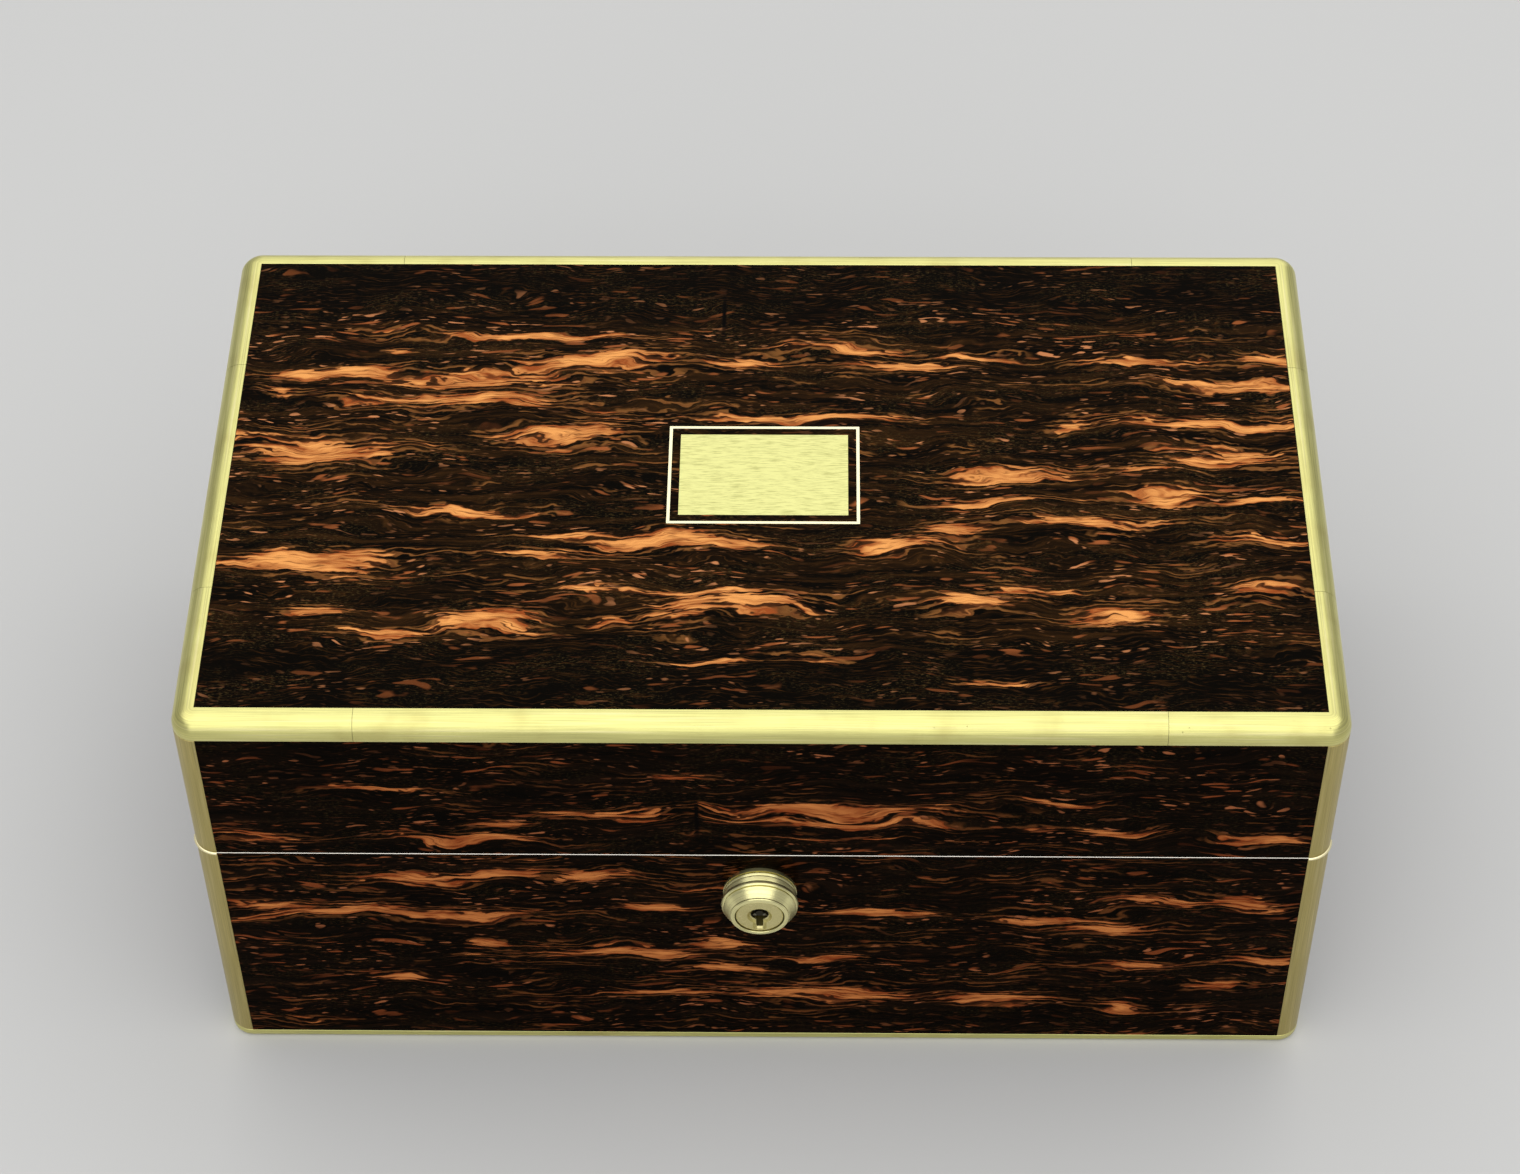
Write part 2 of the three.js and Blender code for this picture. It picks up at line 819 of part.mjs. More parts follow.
// Slider spring: a coil round the centre pin.
class Coil extends THREE.Curve {
  getPoint(share, target = new THREE.Vector3()) {
    const angle = share * springTurns * 2 * Math.PI;
    const start = noseBack + clearance + springWireRadius;
    const end = springSeat - clearance - springWireRadius;
    return target.set(
      springRadius * Math.cos(angle),
      start + (end - start) * share,
      springRadius * Math.sin(angle),
    );
  }
}
const wireOutline = outlineOf(
  arc(0, 0, springWireRadius, 0, 360, wireSides).slice(1),
);
piece(
  "lock_slider_spring",
  closed(
    new THREE.ExtrudeGeometry(wireOutline, {
      extrudePath: new Coil(),
      steps: springTurns * stepsPerTurn,
    }),
  ),
  materials.steel,
  lock,
);

// Bolt: a flat plate with two hooks, drawn where it locks and placed where it is drawn back.
const stapleBottom = linkPlateBottom - stapleLength;
const boltTop = stapleBottom - boltTopGap;
const hookBottom = stapleBottom + stapleBar + hookPlay;
const hookTop = hookBottom + hookHeight;
const hookLeft = -hookLength / 2 - riserBreadth;
const hookRight = hookLength / 2;
const boltOutline = outlineOf([
  [-staplePlace + hookLeft, -boltDrop],
  [staplePlace - hookRight, -boltDrop],
  [staplePlace - hookRight, hookBottom],
  [staplePlace + hookRight, hookBottom],
  [staplePlace + hookRight, hookTop],
  [staplePlace + hookLeft, hookTop],
  [staplePlace + hookLeft, boltTop],
  [-staplePlace - hookRight, boltTop],
  [-staplePlace - hookRight, hookBottom],
  [-staplePlace + hookRight, hookBottom],
  [-staplePlace + hookRight, hookTop],
  [-staplePlace + hookLeft, hookTop],
]);
const slotHalf = crankPinRadius + crankSlotPlay;
const boltBack = boltMiddle + boltThickness / 2;
const bolt = piece(
  "lock_bolt",
  cut(
    prismY(boltOutline, [boltMiddle - boltThickness / 2, boltBack]),
    block([-pinPassRadius, boltTravel + pinPassRadius], [0, wallInside], both(pinPassRadius)),
    block(
      [boltTravel / 2 - slotHalf, boltTravel / 2 + slotHalf],
      [0, wallInside],
      [0, crankRadius + slotHalf],
    ),
  ),
  materials.steel,
  lock,
);
bolt.position.x = -boltTravel;

// Link plate in the lid rim, with the two staples that the hooks enter.
const linkLock = new THREE.Group();
linkLock.position.set(...lidLockCentre);
lid.add(linkLock);
const windowHalf = boltThickness / 2 + clearance;
piece(
  "lid_link_plate",
  cut(
    joined(
      block(
        both(linkPlateLength / 2),
        [lockFace, wallInside],
        [linkPlateBottom, linkPlateBottom + linkPlateThickness],
      ),
      ...[-staplePlace, staplePlace].map((x) =>
        block(
          [x - stapleThickness / 2, x + stapleThickness / 2],
          [boltMiddle - stapleBreadth / 2, boltMiddle + stapleBreadth / 2],
          [stapleBottom, linkPlateBottom + linkPlateThickness / 2],
        ),
      ),
    ),
    ...[-staplePlace, staplePlace].map((x) =>
      block(
        [x - stapleThickness, x + stapleThickness],
        [boltMiddle - windowHalf, boltMiddle + windowHalf],
        [stapleBottom + stapleBar, hookTop + hookPlay],
      ),
    ),
  ),
  materials.brass,
  linkLock,
);

// Stop hinges: leaves let into the rims, a three-knuckle barrel, and flanges that meet when open.
const stopDegrees = openDegrees / 2 + stopPlayDegrees;
const middleHalf = middleKnuckleLength / 2;
const outerKnuckles = [
  [-hingeLength / 2, -middleHalf - clearance],
  [middleHalf + clearance, hingeLength / 2],
];
const middleKnuckle = [both(middleHalf)];
const reliefRadius = knuckleRadius + clearance;
const pinBore = barX(hingePinRadius + clearance, both(hingeLength), pinSides);

// A ring sector on the outside of the barrel, below it on the base (side -1) and above it on the lid.
function stopSector(inner, outer, side, span) {
  const points = [
    ...arc(0, 0, inner, side * stopDegrees, side * stopEndDegrees, 2),
    ...arc(0, 0, outer, side * stopEndDegrees, side * stopDegrees, 2),
  ];
  return prismX(outlineOf(points), span);
}

function hingeLeaf(side, knuckles, gaps) {
  const heights = [side * leafFace, side * leafBack].sort((a, b) => a - b);
  const leaf = joined(
    block(both(hingeLength / 2), [-leafReach, 0], heights),
    ...knuckles.map((span) => barX(knuckleRadius, span, pinSides)),
    ...knuckles.map((span) => stopSector(knuckleRadius / 2, reliefRadius + clearance, side, span)),
  );
  const relieved = cut(
    leaf,
    ...gaps.map(([x0, x1]) => barX(reliefRadius, [x0 - clearance, x1 + clearance], pinSides)),
  );
  return cut(
    joined(relieved, stopSector(reliefRadius, stopReach, side, both(hingeLength / 2))),
    pinBore,
  );
}
const baseLeaf = hingeLeaf(-1, outerKnuckles, middleKnuckle);
const lidLeaf = hingeLeaf(1, middleKnuckle, outerKnuckles);
const hingePin = closed(barX(hingePinRadius, both(hingeLength / 2), pinSides));
for (const { name, x } of hingeSides) {
  piece("hinge_base_leaf_" + name, baseLeaf, materials.brass, box).position.set(x, halfDepth, partingHeight);
  piece("hinge_pin_" + name, hingePin, materials.steel, box).position.set(x, halfDepth, partingHeight);
  piece("hinge_lid_leaf_" + name, lidLeaf, materials.brass, lid).position.set(x, halfDepth, 0);
}

// Lining of the lower compartment, whose top edge carries the tray, and the floor pad.
const trayBottom = baseRim - trayDrop - trayHeight;
const liningHalfX = cavityHalfWidth - glueLine;
const liningHalfY = cavityHalfDepth - glueLine;
piece(
  "base_lining",
  closed(
    prismZ(
      ringOutline(
        rectangle(liningHalfX, liningHalfY),
        rectangle(liningHalfX - liningThickness, liningHalfY - liningThickness),
      ),
      [floorTop + glueLine, trayBottom - clearance],
    ),
  ),
  materials.velvet,
  box,
);
piece(
  "base_floor_pad",
  block(
    both(liningHalfX - liningThickness - softPlay),
    both(liningHalfY - liningThickness - softPlay),
    [floorTop + glueLine, floorTop + floorPadThickness],
  ),
  materials.velvet,
  box,
);

// Lift-out tray, in its own frame: the origin at the middle of its underside.
const tray = new THREE.Group();
tray.position.z = trayBottom;
box.add(tray);
const trayHalfX = cavityHalfWidth - trayPlay;
const trayHalfY = cavityHalfDepth - trayPlay;
const bayHalfX = trayHalfX - trayWall;
const bayHalfY = trayHalfY - trayWall;
piece(
  "tray_box",
  cut(
    block(both(trayHalfX), both(trayHalfY), [0, trayHeight]),
    block(both(bayHalfX), both(bayHalfY), [trayFloor, trayHeight + overrun]),
  ),
  materials.velvet,
  tray,
);
const dividerHeights = [trayFloor + glueLine, trayFloor + dividerHeight];
const dividerHalfY = bayHalfY - clearance;
const ringBayEnd = -bayHalfX + ringBayLength;
const endBayStart = bayHalfX - endBayLength;
piece(
  "tray_divider_ring_bay",
  block([ringBayEnd, ringBayEnd + dividerThickness], both(dividerHalfY), dividerHeights),
  materials.velvet,
  tray,
);
piece(
  "tray_divider_end_bays",
  joined(
    block([endBayStart - dividerThickness, endBayStart], both(dividerHalfY), dividerHeights),
    block([endBayStart - glueLine, bayHalfX - clearance], both(dividerThickness / 2), dividerHeights),
  ),
  materials.velvet,
  tray,
);

// Ring cushion: soft rolls side by side, which hold rings between them.
const cushionLeft = -bayHalfX + softPlay;
const rollPitch = (ringBayLength - 2 * softPlay) / ringRollCount;
const rollTops = [];
for (let roll = 0; roll < ringRollCount; roll++) {
  const middle = cushionLeft + (roll + 0.5) * rollPitch;
  for (let step = 0; step < roundSteps; step++) {
    const angle = Math.PI * (1 - step / roundSteps);
    rollTops.push([
      middle + (Math.cos(angle) * rollPitch) / 2,
      ringCushionHeight - ringRollDepth * (1 - Math.sin(angle)),
    ]);
  }
}
const cushionRight = cushionLeft + ringRollCount * rollPitch;
piece(
  "tray_ring_cushion",
  closed(
    prismY(
      outlineOf([
        [cushionRight, 0],
        [cushionLeft, 0],
        ...rollTops,
        [cushionRight, ringCushionHeight - ringRollDepth],
      ]),
      both(bayHalfY - softPlay),
    ),
  ),
  materials.velvet,
  tray,
).position.z = trayFloor + glueLine;

// Lid lining, and the padded silk under the lid's top board.
piece(
  "lid_lining",
  closed(
    prismZ(
      ringOutline(
        rectangle(liningHalfX, liningHalfY),
        rectangle(liningHalfX - lidLiningThickness, liningHalfY - lidLiningThickness),
      ),
      [lidRim, boardBottom - glueLine],
    ),
  ),
  materials.velvet,
  lid,
);

// Crown of a pad: full in the middle, falling away evenly to its edges.
function padGeometry(halfX, halfY, edge, crown) {
  const positions = [];
  const faces = [];
  const row = padColumns + 1;
  const layer = row * (padRows + 1);
  for (const isCrown of [false, true]) {
    for (let j = 0; j <= padRows; j++) {
      for (let i = 0; i <= padColumns; i++) {
        const u = (2 * i) / padColumns - 1;
        const v = (2 * j) / padRows - 1;
        const swell = Math.sqrt((1 - u ** 4) * (1 - v ** 4));
        positions.push(u * halfX, v * halfY, isCrown ? -edge - crown * swell : 0);
      }
    }
  }
  const quad = (a, b, c, d) => faces.push(a, b, c, a, c, d);
  for (let j = 0; j < padRows; j++) {
    for (let i = 0; i < padColumns; i++) {
      const at = j * row + i;
      quad(at, at + 1, at + 1 + row, at + row);
      quad(layer + at, layer + at + row, layer + at + row + 1, layer + at + 1);
    }
  }
  const rim = [];
  for (let i = 0; i < padColumns; i++) rim.push(i);
  for (let j = 0; j < padRows; j++) rim.push(j * row + padColumns);
  for (let i = padColumns; i > 0; i--) rim.push(padRows * row + i);
  for (let j = padRows; j > 0; j--) rim.push(j * row);
  rim.forEach((at, k) => {
    const next = rim[(k + 1) % rim.length];
    quad(at, at + layer, next + layer, next);
  });
  const geometry = new THREE.BufferGeometry();
  geometry.setAttribute("position", new THREE.Float32BufferAttribute(positions, 3));
  geometry.setIndex(faces);
  return closed(geometry);
}
piece(
  "lid_pad",
  padGeometry(
    liningHalfX - lidLiningThickness - softPlay,
    liningHalfY - lidLiningThickness - softPlay,
    lidPadEdge,
    lidPadCrown,
  ),
  materials.silk,
  lid,
).position.z = boardBottom - glueLine;

export default box;
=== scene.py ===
"""The looks of a travelling jewelry box: a box veneered in a dark figured wood and bound in brass.

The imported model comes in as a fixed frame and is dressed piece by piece, in the order in which such a
box is put together. X runs left to right, the front faces -Y and +Z is up. Lengths are in metres.
"""
import math

import bmesh
import bpy
import numpy as np
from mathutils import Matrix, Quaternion, Vector


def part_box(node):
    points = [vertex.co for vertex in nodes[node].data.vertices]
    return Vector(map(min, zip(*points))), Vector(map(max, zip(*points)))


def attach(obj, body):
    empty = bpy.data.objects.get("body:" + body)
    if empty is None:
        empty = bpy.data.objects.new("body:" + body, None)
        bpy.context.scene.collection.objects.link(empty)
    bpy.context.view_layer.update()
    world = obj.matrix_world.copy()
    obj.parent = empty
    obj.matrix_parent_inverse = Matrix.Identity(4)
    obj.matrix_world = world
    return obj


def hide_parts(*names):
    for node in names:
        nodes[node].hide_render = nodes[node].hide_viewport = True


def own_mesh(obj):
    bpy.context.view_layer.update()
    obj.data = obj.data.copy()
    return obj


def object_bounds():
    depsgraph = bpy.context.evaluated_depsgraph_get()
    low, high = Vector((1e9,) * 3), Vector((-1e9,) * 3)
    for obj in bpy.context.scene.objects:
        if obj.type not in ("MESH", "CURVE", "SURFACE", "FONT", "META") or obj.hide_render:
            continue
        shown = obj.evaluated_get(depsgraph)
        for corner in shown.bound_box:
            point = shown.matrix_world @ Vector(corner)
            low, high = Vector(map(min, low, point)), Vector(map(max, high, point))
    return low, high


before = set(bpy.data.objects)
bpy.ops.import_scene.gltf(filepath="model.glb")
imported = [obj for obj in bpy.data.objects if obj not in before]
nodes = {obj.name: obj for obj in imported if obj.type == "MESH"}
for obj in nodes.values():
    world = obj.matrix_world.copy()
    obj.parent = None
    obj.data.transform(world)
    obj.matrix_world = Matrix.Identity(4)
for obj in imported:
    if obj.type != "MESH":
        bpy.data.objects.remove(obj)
cad_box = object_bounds()
MM = 0.001


# Camera.
# It stands where the photograph was taken from: above the front of the box, looking down at it.
# Its lens is the photograph's focal length in pixels, with the sensor standing for the photograph's width.
PHOTO_WIDTH = 1520
FOCAL_PIXELS = 3541.4
SENSOR_WIDTH = 36
camera_place = Vector((13.9, -661.6, 845.9)) * MM
camera_dip = math.radians(48.64)
camera_swing = math.radians(-1.33)
camera_tilt = math.radians(0.775)

camera = bpy.data.objects.new("camera", bpy.data.cameras.new("camera"))
bpy.context.scene.collection.objects.link(camera)
bpy.context.scene.camera = camera
camera.data.sensor_width = SENSOR_WIDTH
camera.data.lens = FOCAL_PIXELS * SENSOR_WIDTH / PHOTO_WIDTH
camera.location = camera_place
camera.rotation_mode = "QUATERNION"
sight = Vector((
    math.sin(camera_swing) * math.cos(camera_dip),
    math.cos(camera_swing) * math.cos(camera_dip),
    -math.sin(camera_dip),
))
camera.rotation_quaternion = sight.to_track_quat("-Z", "Y") @ Quaternion((0, 0, 1), -camera_tilt)
bpy.context.scene.view_settings.view_transform = "Standard"


# Studio.
# A wide pale floor and soft lamps that together stand for open sky: a large one above and before the
# box, a weaker one above and behind it, and low ones that open the shaded front and back.
FLOOR_HALF = 4.0
WORLD_LEVEL = 0.42
box_middle = (cad_box[0] + cad_box[1]) / 2
LAMPS = (
    # name, place, the point that it faces, size and power
    ("overhead", (0, -0.45, 1.25), (0, -0.45, 0), (2.6, 1.9), 18.8),
    ("rear_overhead", (0, 1.05, 1.25), (0, 1.05, 0), (1.8, 1.1), 5.9),
    ("front_fill", (0, -1.7, 0.85), box_middle, (2.0, 1.3), 7.8),
    ("back_fill", (0.3, 1.7, 0.75), box_middle, (1.6, 0.9), 3.6),
)


def colour(red, green, blue):
    """A colour seen on screen, 0 to 255, as the linear light that the shaders work in.

    A share of 255 up to 0.04045 is divided by 12.92. Above that, it is raised to the power of 2.4.
    """
    shares = np.array([red, green, blue]) / 255
    linear = np.where(shares <= 0.04045, shares / 12.92, ((shares + 0.055) / 1.055) ** 2.4)
    return [*linear.tolist(), 1]


class Finish:
    """A material being made. Most calls add one node, join or set its inputs, and return its output."""

    def __init__(self, name):
        """Starts with a plain surface shader."""
        self.material = bpy.data.materials.new(name)
        self.material.use_nodes = True
        self.tree = self.material.node_tree
        self.shader = self.tree.nodes["Principled BSDF"]

    def put(self, socket, value):
        """Joins an input to another node's output, or sets it to a value."""
        if isinstance(value, bpy.types.NodeSocket):
            self.tree.links.new(value, socket)
        else:
            socket.default_value = value

    def add(self, kind, inputs, output=0, **settings):
        """Adds a node of a kind, with its inputs and its settings."""
        node = self.tree.nodes.new("ShaderNode" + kind)
        for key, value in settings.items():
            setattr(node, key, value)
        for key, value in inputs.items():
            self.put(node.inputs[key], value)
        return node.outputs[output]

    def place(self):
        """The place on the object, in metres."""
        return self.add("TexCoord", {}, "Object")

    def split(self, vector):
        """A vector's three parts."""
        node = self.tree.nodes.new("ShaderNodeSeparateXYZ")
        self.put(node.inputs[0], vector)
        return tuple(node.outputs)

    def math(self, operation, *values):
        """One operation on numbers."""
        return self.add("Math", dict(enumerate(values)), operation=operation)

    def plus(self, first, second):
        """The sum of two values."""
        return self.math("ADD", first, second)

    def times(self, first, second):
        """The product of two values."""
        return self.math("MULTIPLY", first, second)

    def line(self, value, slope, rise):
        """The value times slope, plus rise."""
        return self.math("MULTIPLY_ADD", value, slope, rise)

    def vector(self, operation, *values, output=0):
        """One operation on vectors."""
        return self.add("VectorMath", dict(enumerate(values)), output, operation=operation)

    def ramp(self, value, low, high, to_low=0.0, to_high=1.0):
        """Rises smoothly from to_low to to_high as the value goes from low to high, and stays there."""
        inputs = {0: value, 1: low, 2: high, 3: to_low, 4: to_high}
        return self.add("MapRange", inputs, interpolation_type="SMOOTHSTEP")

    def mix(self, share, first, second):
        """The first colour, with that share of the second."""
        return self.add("Mix", {0: share, 6: first, 7: second}, 2, data_type="RGBA")

    def noise(self, place, grain, detail=2.0, roughness=0.5, seed=0.0):
        """Smooth noise, 0 to 1, whose features have the lengths of grain, in metres along each axis."""
        scaled = self.vector("MULTIPLY", place, [1 / length for length in grain])
        inputs = {"Vector": scaled, "W": seed, "Scale": 1.0, "Detail": detail, "Roughness": roughness}
        return self.add("TexNoise", inputs, noise_dimensions="4D")

    def wear(self, **values):
        """Sets or joins the shader's own inputs, named with _ for a space."""
        for key, value in values.items():
            self.put(self.shader.inputs[key.replace("_", " ")], value)

    def bump(self, height, depth, under=None):
        """Raises the surface by depth, in metres, where height is 1."""
        inputs = {"Height": height, "Distance": depth}
        if under is not None:
            inputs["Normal"] = under
        return self.add("Bump", inputs)


def lamp(name, place, aim, size, power):
    """A rectangular lamp at a place, turned to face a point."""
    light = bpy.data.lights.new(name, "AREA")
    light.shape = "RECTANGLE"
    light.size, light.size_y = size
    light.energy = power
    holder = bpy.data.objects.new(name, light)
    bpy.context.scene.collection.objects.link(holder)
    holder.location = place
    holder.rotation_mode = "QUATERNION"
    holder.rotation_quaternion = (Vector(aim) - Vector(place)).to_track_quat("-Z", "Y")


for lamp_settings in LAMPS:
    lamp(*lamp_settings)

world = bpy.data.worlds.new("studio")
world.use_nodes = True
bpy.context.scene.world = world
world.node_tree.nodes["Background"].inputs["Color"].default_value = (1, 1, 1, 1)
world.node_tree.nodes["Background"].inputs["Strength"].default_value = WORLD_LEVEL

floor_finish = Finish("floor_paper")
floor_finish.wear(Base_Color=colour(198, 198, 197), Roughness=0.9, Specular_IOR_Level=0.1)
floor_mesh = bpy.data.meshes.new("floor")
floor_mesh.from_pydata(
    [(x * FLOOR_HALF, y * FLOOR_HALF, 0) for x, y in ((-1, -1), (1, -1), (1, 1), (-1, 1))],
    [],
    [(0, 1, 2, 3)],
)
floor_mesh.materials.append(floor_finish.material)
floor = bpy.data.objects.new("floor", floor_mesh)
bpy.context.scene.collection.objects.link(floor)


# Carcass.
# The boards that everything is glued to: straight-grained mahogany, seen at the rims and where the
# lid stands open. The solids of the frame have its shape and only get the wood.
def finish_node(name, look):
    """Gives a solid of the frame a finish."""
    solid = nodes[name]
    solid.data.materials.clear()
    solid.data.materials.append(look.material)


mahogany = Finish("mahogany")
wood_place = mahogany.place()
growth = mahogany.noise(wood_place, (60 * MM, 2.2 * MM, 2.2 * MM), detail=3, roughness=0.6)
pores = mahogany.noise(wood_place, (3 * MM, 0.25 * MM, 0.25 * MM), detail=1, seed=4)
pore_depth = mahogany.ramp(pores, 0.6, 0.75)
wood_tone = mahogany.mix(mahogany.ramp(growth, 0.3, 0.7), colour(96, 48, 28), colour(138, 78, 46))
mahogany.wear(
    Base_Color=mahogany.mix(pore_depth, wood_tone, colour(58, 27, 16)),
    Roughness=mahogany.ramp(growth, 0.3, 0.7, 0.42, 0.55),
    Normal=mahogany.bump(pore_depth, -0.04 * MM),
)
for board in ("base_walls", "base_bottom_board", "lid_walls", "lid_top_board"):
    finish_node(board, mahogany)


# Veneer.
# Saw-cut sheets of a nearly black wood with orange-brown figures drawn out along the grain, French
# polished. On the lid's top and front, the grain is drawn up to a dark joint left of the middle.
LID_TOP_FIGURES = [
    # middle x, middle y, half length and half breadth of the largest figures, in millimetres
    (-124, 39, 17, 1.8), (-136, 31, 7, 2.2), (-103, 47, 4, 1.4), (-73, 36, 19, 3.4), (-42, 42, 24, 3.2),
    (-83, 29, 29, 3.0), (-8, 43, 12, 2.0), (-67, 53, 24, 1.2), (-55, 15, 14, 5.2), (-125, 9, 21, 4.6),
    (21, 48, 18, 1.3), (39, 42, 10, 1.8), (56, 47, 9, 1.5), (110, 43, 17, 2.0), (140, 46, 7, 1.8),
    (122, 35, 23, 1.7), (85, 19, 6, 2.0), (119, 19, 25, 2.2), (129, 8, 17, 3.2), (69, 0, 19, 2.2),
    (11, 21, 24, 1.4), (-20, -50, 9, 4.2), (1, -48, 13, 3.0), (-39, -52, 6, 2.0), (-29, -43, 30, 1.1),
    (17, -66, 13, 2.8), (-15, -67, 15, 1.2), (35, -27, 12, 2.5), (-18, -25, 17, 2.4), (51, -20, 7, 2.6),
    (53, -47, 9, 2.8), (66, -42, 9, 2.7), (81, -42, 4, 1.6), (95, -50, 11, 3.0), (109, -8, 11, 3.0),
    (133, -10, 14, 0.9), (91, -18, 16, 2.2), (135, -24, 11, 2.0), (132, -41, 9, 2.0), (107, 1, 9, 1.5),
    (66, -10, 16, 1.2), (64, -73, 11, 1.6), (-124, -33, 22, 3.6), (-118, -49, 8, 2.0),
    (-100, -57, 10, 2.4), (-74, -54, 11, 3.0), (-60, -30, 16, 2.3), (-81, -14, 16, 1.3), (-52, -22, 7, 1.4),
]
LID_FRONT_FIGURES = [
    (-67, 99, 7, 1.5), (-42, 104, 17, 2.0), (-74, 93, 20, 1.6), (-97, 115, 11, 1.0), (-132, 94, 13, 1.8),
    (-22, 121, 10, 1.6), (17, 105, 30, 2.2), (20, 101, 28, 1.2), (23, 94, 30, 1.0), (72, 101, 4, 1.0),
    (94, 99, 8, 1.6), (135, 95, 11, 1.9), (80, 110, 7, 1.0),
]
BASE_FRONT_FIGURES = [
    (-96, 76, 14, 2.0), (-71, 78, 11, 1.8), (-46, 77, 8, 2.6), (-133, 63, 12, 1.8), (-98, 59, 29, 2.2),
    (-75, 47, 4, 1.4), (-41, 43, 19, 2.4), (-101, 29, 5, 2.0), (-30, 63, 9, 1.6), (-12, 47, 7, 2.0),
    (-27, 22, 14, 1.6), (14, 23, 20, 3.2), (-10, 35, 9, 1.5), (14, 40, 10, 1.2), (28, 61, 17, 1.3),
    (108, 66, 15, 1.9), (132, 67, 8, 2.6), (96, 55, 11, 2.8), (101, 37, 12, 2.0), (66, 19, 12, 2.7),
    (100, 18, 5, 1.6), (139, 40, 7, 1.5), (125, 27, 7, 1.4), (79, 59, 14, 1.2),
]
SIDE_FIGURES = [
    (-52, 20, 16, 2.2), (20, 34, 22, 2.6), (-18, 56, 19, 2.0), (55, 66, 14, 2.4), (48, 12, 12, 2.0),
    (-60, 74, 12, 1.8), (-30, 104, 21, 2.0), (36, 96, 17, 2.2), (60, 118, 10, 1.6), (-62, 122, 9, 1.4),
    (-8, 18, 10, 1.4), (-62, 42, 14, 1.8), (-30, 36, 9, 2.2), (62, 44, 11, 1.5), (10, 72, 20, 1.3),
    (-26, 78, 8, 1.8), (64, 84, 9, 1.6), (2, 118, 14, 1.4), (-58, 94, 8, 1.5), (30, 56, 7, 1.6),
]

# The lid's top keeps the wood's own tone. The upright sheets share a dimmer, redder tone and a darker
# ground, which are painted shade for faces that stand upright. They also have fewer streaks, rings, dashes
# and moss.
TOP_WOOD = {
    "tone": (1, 1, 1), "ground": (50, 30, 10), "streaks": 0.46, "rings": 0.95, "dashes": 0.9,
    "moss": 0.7, "ripple": 1.8, "slide": 5, "fullness": -0.08, "gloss": 0.015,
}
SHADED_SIDE_WOOD = {
    "tone": (0.86, 0.78, 0.76), "ground": (24, 13, 6), "streaks": 0.14, "rings": 0.6, "dashes": 0.75,
    "moss": 0.3, "ripple": 1.2, "slide": 4, "fullness": -0.08, "gloss": 0.01,
}
FULL_SHADED_SIDE_WOOD = {**SHADED_SIDE_WOOD, "fullness": 0.0, "streaks": 0.2, "rings": 0.75}
BLACK_WOOD = (5, 3, 1)
BROWN_STREAK = (94, 58, 24)
MOSS_BROWN = (92, 74, 40)
RING_BROWN = (136, 88, 44)
RIND_BROWN = (78, 42, 20)
FLAME_DEEP = (146, 72, 32)
FLAME_BRIGHT = (228, 156, 86)
FLAME_LINE = (84, 44, 20)
JOINT_BLACK = (5, 3, 2)
GRAINS = {
    # length along the grain and breadth across it in millimetres, detail, roughness and seed step
    "sway": (30, 13, 1, 0.5, 0),
    "ripple": (8, 4.2, 2, 0.5, 3),
    "slide": (14, 4, 1, 0.5, 5),
    "broad": (42, 7, 2, 0.5, 7),
    "knots": (17, 3.4, 3, 0.62, 9),
    "streak": (9, 0.42, 2, 0.6, 11),
    "band": (60, 2.5, 3, 0.65, 13),
    "moss": (1.3, 0.4, 2, 0.7, 15),
    "moss_patch": (26, 9, 2, 0.5, 17),
    "dash_patch": (34, 8, 2, 0.5, 19),
    "warmth": (15, 2.6, 2, 0.5, 21),
    "polish": (26, 26, 2, 0.5, 29),
}
DASHES = [
    # length and breadth in millimetres, where the noise starts and ends a dash, where the patches thin
    # out and crowd the dashes, their share in a crowd, and their colour
    (3.0, 0.46, 0.63, 0.74, 0.44, 0.66, 0.75, (130, 86, 52)),
    (4.6, 0.85, 0.66, 0.72, 0.46, 0.6, 0.95, (196, 128, 82)),
    (8.5, 1.3, 0.66, 0.72, 0.4, 0.6, 0.8, (168, 94, 50)),
]
DASH_THIN_SHARE = 0.1
SWAY_REACH = 6.5
PINCH_RISE = 3.5
PINCH_FADE = 8
FIGURE_REACH = 2.1
FIGURE_SLOPE = 0.5
KNOT_REACH = 0.85
BROAD_REACH = 0.85
RING_SPACING = 1.9
RING_BEND = 3.6
RING_HEIGHT = 0.14
CALM_FADE = 14
CALM_DROP = 0.3
CALM_LOSS = 0.6
NOWHERE = 1000


